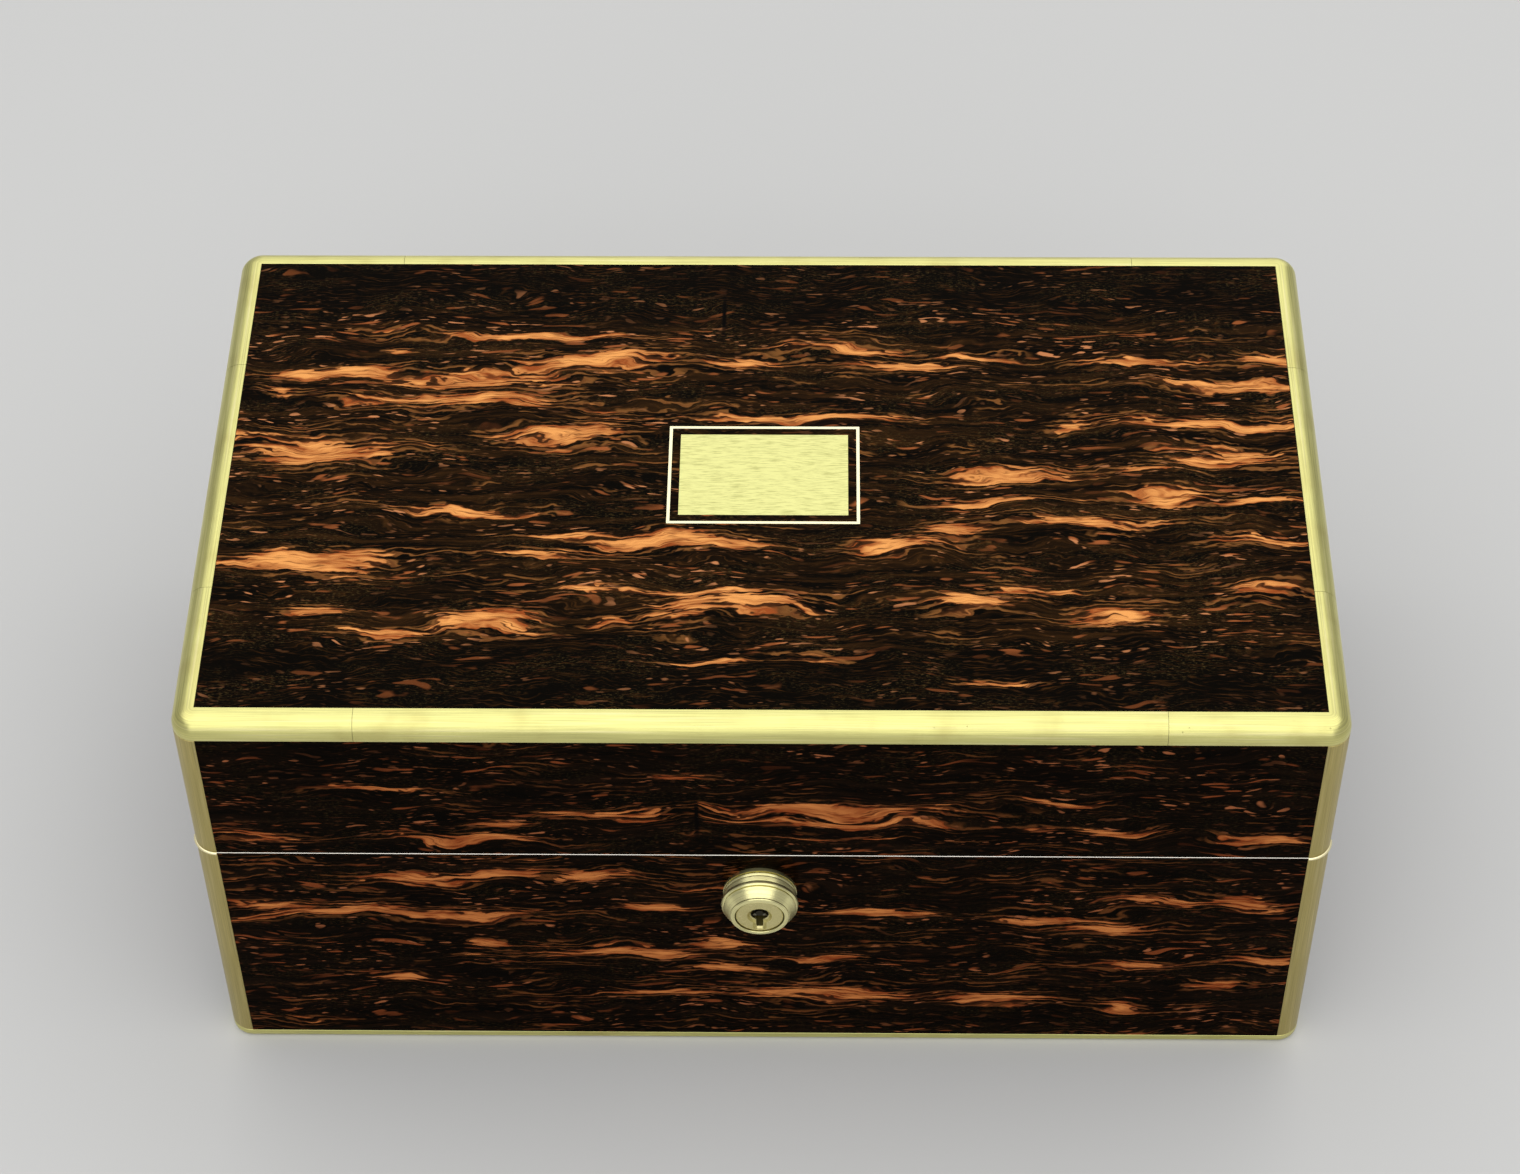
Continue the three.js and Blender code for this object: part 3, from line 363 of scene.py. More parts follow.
def veneer(name, axes, figures, seed, wood, pinch=(0, NOWHERE), calm=NOWHERE):
    """Polished veneer whose grain runs along the first of two axes.

    All lengths inside are in millimetres. The grain's paths are bent by broad and fine noise, and drawn
    up to a point at the pinch, a dark joint a few centimetres high at that place. Further than calm from
    the sheet's middle line the wood is darker. The figure is a field: one minus the distance from the
    nearest of the largest figures, in half lengths and half breadths of that figure, plus noise drawn out
    along the grain, plus a wave across the grain whose phase follows that noise. Where the field is above
    zero the wood is orange. So a weak place shows only the wave's crests, as thin lines and rings.
    """
    look = Finish(name)
    parts = look.split(look.vector("MULTIPLY", look.place(), (1 / MM,) * 3))
    along = parts[axes[0]]
    across = parts[axes[1]]
    flat = look.add("CombineXYZ", {0: along, 1: across})

    def tinted(paint):
        """A colour times the wood's tone, which on the upright sheets is painted shade."""
        return colour(*np.multiply(paint, wood["tone"]))

    def grain(kind, where):
        """One kind of noise, 0 to 1, at a place."""
        length, breadth, detail, roughness, seed_step = GRAINS[kind]
        return look.noise(where, (length, breadth, 1), detail, roughness, seed + seed_step)

    def swing(noise, reach):
        """The noise moved to about zero, so that it goes as far as reach either way."""
        return look.line(noise, 2 * reach, -reach)

    sway = swing(grain("sway", flat), SWAY_REACH)
    ripple = swing(grain("ripple", flat), wood["ripple"])
    slide = swing(grain("slide", flat), wood["slide"])
    beside = look.math("ABSOLUTE", look.math("SUBTRACT", along, pinch[0]))
    level = look.math("ABSOLUTE", look.math("SUBTRACT", across, pinch[1]))
    drawn = look.times(look.math("EXPONENT", look.math("DIVIDE", beside, -PINCH_FADE)), PINCH_RISE)
    drawn = look.times(drawn, look.ramp(level, 4, 15, 1.0, 0.0))
    bent_across = look.plus(across, look.math("SUBTRACT", look.plus(sway, ripple), drawn))
    bent = look.add("CombineXYZ", {0: look.plus(along, slide), 1: bent_across})
    swayed = look.add("CombineXYZ", {0: along, 1: look.plus(across, sway)})

    distance = FIGURE_REACH
    for middle_along, middle_across, half_length, half_breadth in figures:
        scale = (1 / half_length, 1 / half_breadth, 0)
        offset = (-middle_along / half_length, -middle_across / half_breadth, 0)
        reach = look.vector("MULTIPLY_ADD", bent, scale, offset)
        distance = look.math("MINIMUM", distance, look.vector("LENGTH", reach, output="Value"))
    knots = grain("knots", bent)
    phase = look.line(knots, RING_BEND, look.math("DIVIDE", bent_across, RING_SPACING))
    wave = look.math("SINE", look.times(phase, 2 * math.pi))
    quiet = look.ramp(look.math("ABSOLUTE", across), calm, calm + CALM_FADE)
    field = look.line(look.math("SUBTRACT", 1, distance), FIGURE_SLOPE, wood["fullness"])
    field = look.plus(field, swing(knots, KNOT_REACH))
    field = look.plus(field, swing(grain("broad", bent), BROAD_REACH))
    field = look.line(quiet, -CALM_DROP, look.line(wave, RING_HEIGHT, field))

    # The ground: black wood with brown bands and streaks, and mossy patches of the finest speckle.
    streak = grain("streak", bent)
    light = look.line(quiet, -CALM_LOSS, look.ramp(grain("band", bent), 0.42, 0.78))
    surface = look.mix(light, colour(*BLACK_WOOD), colour(*wood["ground"]))
    streaks = look.times(look.ramp(streak, 0.52, 0.78), wood["streaks"])
    surface = look.mix(streaks, surface, tinted(BROWN_STREAK))
    moss = look.times(look.ramp(grain("moss_patch", flat), 0.42, 0.68), wood["moss"])
    moss = look.times(look.ramp(grain("moss", flat), 0.5, 0.78), moss)
    surface = look.mix(moss, surface, colour(*MOSS_BROWN))

    # The rings: the wave's crests round the figures.
    crest = look.times(look.ramp(wave, 0.1, 0.9), look.ramp(field, -0.38, -0.06))
    surface = look.mix(look.times(crest, wood["rings"]), surface, tinted(RING_BROWN))

    # The dashes: short flecks in patches.
    patch = grain("dash_patch", flat)
    for length, breadth, start, full, thin, crowded, share, paint in DASHES:
        spots = look.noise(swayed, (length, breadth, 1), 1, 0.3, seed + length)
        dash = look.times(look.ramp(spots, start, full), look.line(quiet, -CALM_LOSS, 1.0))
        most = share * wood["dashes"]
        crowd = look.ramp(patch, thin, crowded, DASH_THIN_SHARE * wood["dashes"], most)
        surface = look.mix(look.times(dash, crowd), surface, tinted(paint))

    # The orange figures: brighter in their middles and between fine dark lines, with a brown rind.
    warmth = look.ramp(grain("warmth", bent), 0.3, 0.7)
    core = look.line(warmth, 0.8, look.line(streak, 1.5, -0.92))
    core = look.line(look.ramp(field, 0.0, 0.4), 0.5, core)
    flame = look.mix(core, tinted(FLAME_DEEP), tinted(FLAME_BRIGHT))
    flame = look.mix(look.times(look.ramp(streak, 0.48, 0.35), 0.7), flame, tinted(FLAME_LINE))
    rind = look.times(look.ramp(field, -0.2, -0.02), 0.7)
    surface = look.mix(rind, surface, tinted(RIND_BROWN))
    surface = look.mix(look.ramp(field, -0.02, 0.05), surface, flame)
    joint = look.times(look.ramp(beside, 0.2, 1.0, 1.0, 0.0), look.ramp(level, 3, 12, 1.0, 0.0))
    surface = look.mix(joint, surface, colour(*JOINT_BLACK))

    polish = grain("polish", flat)
    look.wear(
        Base_Color=surface,
        Roughness=look.ramp(polish, 0.3, 0.7, 0.16, 0.24),
        Specular_IOR_Level=wood["gloss"],
        Normal=look.bump(polish, 0.05 * MM),
    )
    return look


SHEETS = [
    ("lid", "top", (0, 1), LID_TOP_FIGURES, TOP_WOOD, {"pinch": (-12, 62), "calm": 56}),
    ("lid", "front", (0, 2), LID_FRONT_FIGURES, SHADED_SIDE_WOOD, {"pinch": (-17, 103)}),
    ("base", "front", (0, 2), BASE_FRONT_FIGURES, FULL_SHADED_SIDE_WOOD, {}),
    ("lid", "back", (0, 2), LID_FRONT_FIGURES, SHADED_SIDE_WOOD, {}),
    ("base", "back", (0, 2), BASE_FRONT_FIGURES, SHADED_SIDE_WOOD, {}),
    ("lid", "left", (1, 2), SIDE_FIGURES, SHADED_SIDE_WOOD, {}),
    ("base", "left", (1, 2), SIDE_FIGURES, SHADED_SIDE_WOOD, {}),
    ("lid", "right", (1, 2), SIDE_FIGURES, SHADED_SIDE_WOOD, {}),
    ("base", "right", (1, 2), SIDE_FIGURES, SHADED_SIDE_WOOD, {}),
]
SHEET_SEED_STEP = 30
for number, (part, side, axes, figures, wood, marks) in enumerate(SHEETS):
    seed = 1 + SHEET_SEED_STEP * number
    sheet = veneer(f"veneer_{part}_{side}", axes, figures, seed, wood, **marks)
    finish_node(f"{part}_veneer_{side}", sheet)


# Brass edging.
# Strips and cast corner pieces let into the box's edges, with rounded outer edges, and angle straps up
# its four corners. They were filed flush, then polished along their length.
BRASS_WIDTH = 6.35 * MM
BRASS_ROUNDING = 4.8 * MM
BRASS_THICKNESS = 2.6 * MM
CORNER_ROUNDING = 6.3 * MM
ARRIS = 0.22 * MM
FINE_ARRIS = 0.02 * MM
STRAP_END = 0.1 * MM
FOOT_ROUNDING = 1.5 * MM
LINE_SIZE = (34 * MM, 0.16 * MM)
STREAK_SIZE = (51 * MM, 1.2 * MM)
CLOUD_SIZE = 14 * MM
NICK_SIZE = 0.8 * MM
BRIGHT_BRASS = (250, 238, 190)
AGED_BRASS = (176, 160, 92)


def brass_finish(name, lengthwise=None, tone=(230, 219, 140), roughness=(0.36, 0.46)):
    """Brass polished along its length: along the UV map's first direction, or along an axis.

    Fine darker lines and broader bright streaks run that way. Cloudy patches are a little aged, and a few
    small nicks are pressed in.
    """
    look = Finish(name)
    place = look.place()
    run = place
    along = [axis == lengthwise for axis in range(3)]
    if lengthwise is None:
        run = look.add("UVMap", {}, uv_map="lengths")
        along = [True, False, False]
        tangent = look.add("Tangent", {}, direction_type="UV_MAP", uv_map="lengths")
        look.wear(Anisotropic=0.6, Anisotropic_Rotation=0.25, Tangent=tangent)
    lines = look.noise(run, np.where(along, *LINE_SIZE), detail=2, roughness=0.7)
    streaks = look.noise(run, np.where(along, *STREAK_SIZE), detail=2, seed=3)
    cloud = look.noise(place, (CLOUD_SIZE,) * 3, detail=3, seed=7)
    nick = look.ramp(look.noise(place, (NICK_SIZE,) * 3, detail=1, seed=12), 0.76, 0.82)
    metal = look.mix(look.ramp(lines, 0.3, 0.7), colour(*np.multiply(tone, 0.82)), colour(*tone))
    metal = look.mix(look.times(look.ramp(streaks, 0.5, 0.75), 0.35), metal, colour(*BRIGHT_BRASS))
    look.wear(
        Base_Color=look.mix(look.times(look.ramp(cloud, 0.45, 0.8), 0.45), metal, colour(*AGED_BRASS)),
        Metallic=1.0,
        Roughness=look.ramp(streaks, 0.3, 0.7, *roughness),
        Normal=look.bump(nick, -0.1 * MM, look.bump(lines, 0.014 * MM)),
    )
    return look


def softened(corners, radii, steps=5):
    """A closed outline whose square corners are rounded, each by its radius.

    An arc's centre lies one radius back from the corner and one radius on from it, and its points turn
    from the first of these directions to the second.
    """
    corners = np.array(corners, dtype=float)
    count = len(corners)
    angles = np.linspace(0, np.pi / 2, steps + 1)[:, None]
    points = []
    for k in range(count):
        before = corners[k] - corners[k - 1]
        after = corners[(k + 1) % count] - corners[k]
        before /= np.linalg.norm(before)
        after /= np.linalg.norm(after)
        radius = radii[k] if np.ndim(radii) else radii
        centre = corners[k] + radius * (after - before)
        points.append(centre - radius * after * np.cos(angles) + radius * before * np.sin(angles))
    points = np.concatenate(points)
    return np.concatenate([points, points[:1]])


def corner_plan(inset, half_x, half_y, radius, leg, steps=16, leg_steps=6):
    """One corner of a rounded rectangle in plan: a leg, a quarter circle and a leg.

    Each inset gives a column of points, as far inside the outline: the circle's radius less the inset,
    about the same centre, or a square corner once the radius is used up.
    """
    bend = np.maximum(radius, inset)
    turn = np.maximum(radius - inset, 0)
    angles = np.linspace(np.pi / 2, 0, steps + 1)[:, None]
    x = half_x - bend + turn * np.cos(angles)
    y = half_y - bend + turn * np.sin(angles)
    shares = np.linspace(0, 1, leg_steps + 1)[:-1, None]
    leg_x = half_x - leg + (x[:1] - half_x + leg) * shares
    leg_y = half_y - leg + (y[-1:] - half_y + leg) * shares
    straight_x = np.broadcast_to(x[-1:], leg_y.shape)
    straight_y = np.broadcast_to(y[:1], leg_x.shape)
    return np.concatenate([leg_x, x, straight_x]), np.concatenate([straight_y, y, leg_y[::-1]])


def loop_plan(inset, half_x, half_y, radius, steps=12):
    """A rounded rectangle in plan, once round. Each inset gives a column of points, as in corner_plan."""
    turns = np.linspace(0, np.pi / 2, steps + 1)
    angles = np.concatenate([turns + quarter * np.pi / 2 for quarter in range(4)])[:, None]
    side_x = np.repeat([1, -1, -1, 1], steps + 1)[:, None]
    side_y = np.repeat([1, 1, -1, -1], steps + 1)[:, None]
    bend = np.maximum(radius, inset)
    turn = np.maximum(radius - inset, 0)
    x = side_x * (half_x - bend) + turn * np.cos(angles)
    y = side_y * (half_y - bend) + turn * np.sin(angles)
    return np.concatenate([x, x[:1]]), np.concatenate([y, y[:1]])


def swept(plan, heights):
    """A grid of points: the plan's columns, each at its height."""
    return np.stack(np.broadcast_arrays(*plan, heights), axis=-1)


def make_piece(name, grids, look, body, replaced=(), crease=40):
    """One object made of closed shells, each a grid of points whose columns close on themselves.

    A shell that ends in the open gets a flat cap there. The UV map holds a point's distance along the
    rows and the columns, in metres.
    """
    points, lengths, faces = [], [], []
    count = 0
    for grid in grids:
        rows, columns = grid.shape[:2]
        index = count + np.arange(rows * columns).reshape(rows, columns)
        quads = np.stack([index[:-1, :-1], index[1:, :-1], index[1:, 1:], index[:-1, 1:]], axis=-1)
        faces += quads.reshape(-1, 4).tolist()
        if not np.allclose(grid[0], grid[-1], atol=1e-7):
            ends = [index[row, :-1].tolist() for row in (0, -1) if np.ptp(grid[row], axis=0).max() > 1e-6]
            faces += ends
        along = np.linalg.norm(np.diff(grid, axis=0), axis=2).mean(axis=1)
        across = np.linalg.norm(np.diff(grid, axis=1), axis=2).mean(axis=0)
        u = np.concatenate([[0], np.cumsum(along)])
        v = np.concatenate([[0], np.cumsum(across)])
        lengths.append(np.stack(np.meshgrid(u, v, indexing="ij"), axis=-1).reshape(-1, 2))
        points.append(grid.reshape(-1, 3))
        count += rows * columns
    mesh = bpy.data.meshes.new(name)
    mesh.from_pydata(np.concatenate(points), [], faces)
    corners = np.empty(len(mesh.loops), dtype=np.int32)
    mesh.loops.foreach_get("vertex_index", corners)
    mesh.uv_layers.new(name="lengths").data.foreach_set("uv", np.concatenate(lengths)[corners].ravel())
    shape = bmesh.new()
    shape.from_mesh(mesh)
    bmesh.ops.remove_doubles(shape, verts=shape.verts, dist=1e-6)
    bmesh.ops.recalc_face_normals(shape, faces=shape.faces)
    shape.to_mesh(mesh)
    shape.free()
    mesh.shade_smooth()
    mesh.set_sharp_from_angle(angle=math.radians(crease))
    mesh.materials.append(look.material)
    piece = bpy.data.objects.new(name, mesh)
    bpy.context.scene.collection.objects.link(piece)
    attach(piece, body)
    if replaced:
        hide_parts(*replaced)
    return piece


lid_low, lid_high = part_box("lid_corner_piece_back_right")
half_x, half_y, lid_top = lid_high
corner_leg = half_x - lid_low.x
brass = brass_finish("brass", tone=(233, 228, 147), roughness=(0.27, 0.37))
# The corner straps get a darker, duller copy of the brass: painted shade for their upright faces.
shaded_strap_brass = brass_finish("shaded_strap_brass", tone=(196, 180, 114))

edge_outline = softened(
    [
        (BRASS_WIDTH, 0),
        (0, 0),
        (0, -BRASS_WIDTH),
        (BRASS_THICKNESS, -BRASS_WIDTH),
        (BRASS_THICKNESS, -BRASS_THICKNESS),
        (BRASS_WIDTH, -BRASS_THICKNESS),
    ],
    (ARRIS, BRASS_ROUNDING, ARRIS, ARRIS, ARRIS, ARRIS),
    steps=10,
)
inset, depth = edge_outline.T
strap_outline = [
    (half_x - BRASS_WIDTH, half_y - BRASS_THICKNESS),
    (half_x - BRASS_THICKNESS, half_y - BRASS_THICKNESS),
    (half_x - BRASS_THICKNESS, half_y - BRASS_WIDTH),
    (half_x, half_y - BRASS_WIDTH),
    (half_x, half_y),
    (half_x - BRASS_WIDTH, half_y),
]
strap_radii = (ARRIS, ARRIS, ARRIS, FINE_ARRIS, CORNER_ROUNDING, FINE_ARRIS)
strap_x, strap_y = softened(strap_outline, strap_radii, steps=12).T
for side, turn_x, turn_y in (
    ("back_right", 1, 1),
    ("back_left", -1, 1),
    ("front_left", -1, -1),
    ("front_right", 1, -1),
):
    mirror = np.array([turn_x, turn_y, 1])
    plan = corner_plan(inset, half_x, half_y, CORNER_ROUNDING, corner_leg)
    corner = swept(plan, lid_top + depth) * mirror
    make_piece("corner_piece_" + side, [corner], brass, "lid", ["lid_corner_piece_" + side])
    for part in ("lid", "base"):
        node = f"{part}_corner_strap_{side}"
        low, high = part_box(node)
        levels = np.array([low.z, low.z + STRAP_END, high.z - STRAP_END, high.z])[:, None]
        shrink = np.array([STRAP_END, 0, 0, STRAP_END])[:, None]
        strap = swept((strap_x - shrink, strap_y - shrink), levels) * mirror
        make_piece(f"{part}_strap_{side}", [strap], shaded_strap_brass, part, [node])

for side, lengthwise, sign, stations in (
    ("front", 0, -1, 9),
    ("back", 0, 1, 9),
    ("left", 1, -1, 7),
    ("right", 1, 1, 7),
):
    low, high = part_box("lid_edge_strip_" + side)
    run = np.linspace(low[lengthwise], high[lengthwise], stations)[:, None]
    out = sign * (lid_high[1 - lengthwise] - inset)
    plan = (out, run) if lengthwise else (run, out)
    strip = swept(plan, lid_top + depth)
    make_piece("edge_strip_" + side, [strip], brass, "lid", ["lid_edge_strip_" + side])

low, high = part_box("base_foot_edging")
foot_outline = softened(
    [(BRASS_THICKNESS, low.z), (0, low.z), (0, high.z), (BRASS_THICKNESS, high.z)],
    (ARRIS, FOOT_ROUNDING, ARRIS, ARRIS),
)
foot = swept(loop_plan(foot_outline[:, 0], half_x, half_y, CORNER_ROUNDING), foot_outline[:, 1])
make_piece("foot_edging", [foot], brass, "base", ["base_foot_edging"])


# Line at the opening.
# A fine bead along the base's upper edge, at the front and sides. It stands a little proud and slopes
# forward, so it catches the light from above. Its near-white colour is painted highlight, the glint of the
# rim's edge. On the brass straps it is broader, and its painted highlight is yellower.
rim_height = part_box("base_veneer_front")[1].z
bead_shape = np.array([
    (0.6, 0.22),
    (0.0, 0.22),
    (-0.08, 0.18),
    (-0.12, 0.1),
    (-0.09, 0.02),
    (0.0, -0.02),
    (0.6, -0.02),
    (0.6, 0.22),
]) * MM
STRAP_BEAD_GROWTH = (4.4, 3.5)
STRAP_BEAD_DROP = 0.55 * MM
BEAD_STEPS = 12
strap_bead_shape = bead_shape * STRAP_BEAD_GROWTH - (0, STRAP_BEAD_DROP)
# Both colours are painted highlight: the glint on the rim's edge, near white, and yellower on the straps.
highlight_bead_finish = Finish("painted_highlight_line")
highlight_bead_finish.wear(Base_Color=colour(240, 234, 222), Metallic=1.0, Roughness=0.35)
highlight_strap_bead_finish = Finish("painted_highlight_strap_line")
highlight_strap_bead_finish.wear(Base_Color=colour(255, 244, 196), Metallic=1.0, Roughness=0.35)


def bead_round(shape):
    """A bead of that section, carried round the base's upper edge."""
    plan = loop_plan(shape[:, 0], half_x, half_y, CORNER_ROUNDING, BEAD_STEPS)
    return swept(plan, rim_height + shape[:, 1])


# The loop starts at the right and runs by the back, which has no bead, to the left and the front.
back_end = 2 * BEAD_STEPS + 1
front_left = back_end + 1 + BEAD_STEPS
make_piece("opening_line", [bead_round(bead_shape)[back_end:]], highlight_bead_finish, "base", crease=60)
strap_bead = bead_round(strap_bead_shape)
strap_turns = [strap_bead[back_end + 1:front_left + 1], strap_bead[front_left + 1:-1]]
make_piece("opening_line_straps", strap_turns, highlight_strap_bead_finish, "base", crease=60)


# Initial plate.
# A bare brass plate let into the middle of the lid, finely rubbed along its length, inside a frame of
# pale stringing. Both are flush with the veneer, as the solids of the frame are.
plate_finish = Finish("plate_brass")
plate_place = plate_finish.place()
plate_x, plate_y, plate_z = plate_finish.split(plate_place)
plate_sway = plate_finish.noise(plate_place, (16 * MM, 6 * MM, 6 * MM), detail=1)
swayed_y = plate_finish.line(plate_sway, 3 * MM, plate_y)
plate_wave = plate_finish.add("CombineXYZ", {0: plate_x, 1: swayed_y, 2: plate_z})
plate_lines = plate_finish.noise(plate_wave, (5 * MM, 0.3 * MM, 1), detail=3, roughness=0.7, seed=5)
plate_dark = plate_finish.ramp(plate_lines, 0.46, 0.68)
plate_finish.wear(
    Base_Color=plate_finish.mix(plate_dark, colour(226, 224, 152), colour(186, 184, 116)),
    Metallic=1.0,
    Roughness=0.5,
    Normal=plate_finish.bump(plate_dark, -0.02 * MM),
)
finish_node("initial_plate", plate_finish)
stringing_finish = Finish("stringing")
stringing_finish.wear(Base_Color=colour(255, 248, 208), Metallic=1.0, Roughness=0.5)
finish_node("plate_stringing", stringing_finish)


# Lock nozzle.
# The turned brass mouth of the lock, on the front of the base: stepped rings, a swelling collar and a
# narrowing mouth, all cut in a lathe. The plug turns in it.
def turned(profile, centre, axis, sides=128):
    """Turns a closed profile of (radius, place along the axis) once round an axis through a centre."""
    radius, along = np.array(profile).T
    angles = np.linspace(0, 2 * np.pi, sides + 1)[:, None]
    first = radius * np.cos(angles)
    second = radius * np.sin(angles)
    along = np.broadcast_to(along, first.shape)
    order = {"x": (along, first, second), "y": (first, along, second), "z": (first, second, along)}[axis]
    return np.stack(order, axis=-1) + np.array(centre)


BORE_RADIUS = 6.7 * MM
MOUTH_ARRIS = 0.12 * MM
low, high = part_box("lock_nozzle")
lock_centre = (low + high) / 2
nozzle_radius = (high.x - low.x) / 2
nozzle_front = low.y
box_face = -half_y
NOZZLE_SHARES = [
    # radius and distance from the box's face, as shares of the nozzle's radius and reach
    (0.94, 0), (0.94, 0.095), (0.955, 0.11), (0.955, 0.125), (0.9, 0.14), (0.9, 0.16), (0.95, 0.175),
    (0.952, 0.19), (0.942, 0.225), (0.925, 0.255), (0.905, 0.265), (0.905, 0.275), (0.955, 0.29),
    (0.96, 0.31), (0.945, 0.37), (0.925, 0.43), (0.905, 0.445), (0.905, 0.455), (0.965, 0.47),
    (0.992, 0.5), (1, 0.54), (0.992, 0.585), (0.965, 0.625), (0.92, 0.64), (0.92, 0.655), (0.945, 0.67),
    (0.935, 0.69), (0.885, 0.755), (0.835, 0.825), (0.79, 0.9), (0.765, 0.93), (0.765, 0.965),
    (0.745, 0.99), (0.715, 1),
]
nozzle_reach = box_face - nozzle_front
profile = [
    (BORE_RADIUS, box_face),
    *((nozzle_radius * radius, box_face - nozzle_reach * out) for radius, out in NOZZLE_SHARES),
    (BORE_RADIUS + MOUTH_ARRIS, nozzle_front),
    (BORE_RADIUS, nozzle_front + MOUTH_ARRIS),
    (BORE_RADIUS, box_face),
]
# Its brass is a paler, brighter copy of the edging's: painted light for the bright top of the nozzle.
lit_nozzle_finish = brass_finish("lit_nozzle_brass", tone=(255, 248, 182), roughness=(0.28, 0.36))
nozzle = turned(profile, (lock_centre.x, 0, lock_centre.z), "y")
make_piece("nozzle", [nozzle], lit_nozzle_finish, "base", ["lock_nozzle"], crease=24)

# The plug's face has worn bright round the keyhole and the slot below it. It is one ring of sections: at
# each angle, a section runs from the plug's edge in to the keyhole's outline and down its bevel.
PLUG_FACE_THICKNESS = 1 * MM
PLUG_FACE_PROUD = 0.05 * MM
PLUG_GAP = 0.3 * MM
PLUG_BEVEL = 0.22 * MM
KEYHOLE_RADIUS = 2.65 * MM
KEY_SLOT_HALF = 1.15 * MM
KEY_SLOT_REACH = 5.6 * MM
KEYHOLE_BEVEL = 0.75 * MM
KEYHOLE_BEVEL_DEPTH = 0.8 * MM
KEYHOLE_LIP = 0.2 * MM
plug_radius = BORE_RADIUS - PLUG_GAP
keyhole_limit = plug_radius - 1.2 * PLUG_BEVEL


def keyhole_outline(angles, grown):
    """The keyhole's radius at each angle from straight down: a circle, or a slot with parallel sides.

    It stays inside the plug's own bevel, whatever it is grown by.
    """
    turn = np.abs(angles)
    sides = (KEY_SLOT_HALF + grown) / np.maximum(np.sin(turn), 1e-6)
    end = (KEY_SLOT_REACH + grown) / np.maximum(np.cos(turn), 1e-6)
    slot = np.where(turn < np.pi / 2, np.minimum(sides, end), 0)
    return np.minimum(np.maximum(slot, KEYHOLE_RADIUS + grown), keyhole_limit)


slot_corner = math.atan2(KEY_SLOT_HALF, KEY_SLOT_REACH)
slot_root = math.asin(KEY_SLOT_HALF / KEYHOLE_RADIUS)
half_turn = np.concatenate([
    np.linspace(0, slot_corner, 4)[:-1],
    np.linspace(slot_corner, slot_root, 9)[:-1],
    np.linspace(slot_root, np.pi, 40),
])
angles = np.concatenate([half_turn, -half_turn[-2:0:-1], half_turn[:1]])
face_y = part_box("lock_plug")[0].y - PLUG_FACE_PROUD
sections = [
    (plug_radius, face_y + PLUG_FACE_THICKNESS),
    (plug_radius, face_y + PLUG_BEVEL),
    (plug_radius - PLUG_BEVEL, face_y),
    (keyhole_outline(angles, KEYHOLE_BEVEL), face_y),
    (keyhole_outline(angles, -KEYHOLE_LIP), face_y + KEYHOLE_BEVEL_DEPTH),
    (keyhole_outline(angles, -KEYHOLE_LIP), face_y + PLUG_FACE_THICKNESS),
    (plug_radius, face_y + PLUG_FACE_THICKNESS),
]
plug_face = np.stack([
    np.stack(np.broadcast_arrays(
        lock_centre.x + radius * np.sin(angles),
        level,
        lock_centre.z - radius * np.cos(angles),
    ), axis=-1)
    for radius, level in sections
], axis=1)

lock_brass = brass_finish("lock_brass", lengthwise=0)
plug_brass = brass_finish("plug_brass", lengthwise=1, tone=(206, 194, 122), roughness=(0.45, 0.55))
steel = Finish("steel")
steel_lines = steel.noise(steel.place(), (5 * MM, 0.2 * MM, 0.2 * MM), detail=2)
steel.wear(
    Base_Color=steel.mix(steel_lines, colour(120, 118, 112), colour(176, 174, 166)),
    Metallic=1.0,
    Roughness=steel.ramp(steel_lines, 0.3, 0.7, 0.3, 0.45),
)
for part in ("lock_body", "lock_cap", "lid_link_plate"):
    finish_node(part, lock_brass)
finish_node("lock_plug", plug_brass)
worn_brass = brass_finish("worn_brass", lengthwise=1, tone=(232, 222, 158), roughness=(0.4, 0.5))
make_piece("plug_face", [plug_face], worn_brass, "plug", crease=30)
# The centre pin's steel is nearly black: painted shade for the dark deep in the keyhole.
shaded_pin_steel = Finish("shaded_pin_steel")
pin_mottle = shaded_pin_steel.noise(shaded_pin_steel.place(), (0.4 * MM,) * 3)
shaded_pin_steel.wear(
    Base_Color=shaded_pin_steel.mix(pin_mottle, colour(34, 32, 26), colour(70, 66, 54)),
    Metallic=1.0,
    Roughness=0.5,
)
finish_node("lock_centre_pin", shaded_pin_steel)
for part in ("lock_bolt", *(f"lock_slider_{k}" for k in range(1, 5))):
    finish_node(part, steel)


# Slider spring.
# A coil of steel wire round the lock's centre pin. Its far end sits fast in the plug, and the sliders are
# pressed against its near end.
SPRING_TURNS = 5
STEPS_A_TURN = 24
WIRE_STEPS = 10
SPRING_WIRE = 0.25 * MM
low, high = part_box("lock_slider_spring")
coil_radius = (high.x - low.x) / 2 - SPRING_WIRE
coil_length = high.y - low.y
turns = np.linspace(0, SPRING_TURNS, STEPS_A_TURN * SPRING_TURNS + 1)[:, None]
round_wire = np.linspace(0, 2 * np.pi, WIRE_STEPS + 1)[None, :]
coil_way = coil_radius + SPRING_WIRE * np.cos(round_wire)
rise = (coil_length - 2 * SPRING_WIRE) * turns / SPRING_TURNS
coil = np.stack([
    lock_centre.x + coil_way * np.cos(2 * np.pi * turns),
    low.y + SPRING_WIRE * (1 + np.sin(round_wire)) + rise,
    lock_centre.z + coil_way * np.sin(2 * np.pi * turns),
], axis=-1)
spring = make_piece("slider_spring", [coil], steel, "plug", ["lock_slider_spring"], crease=60)
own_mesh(spring)


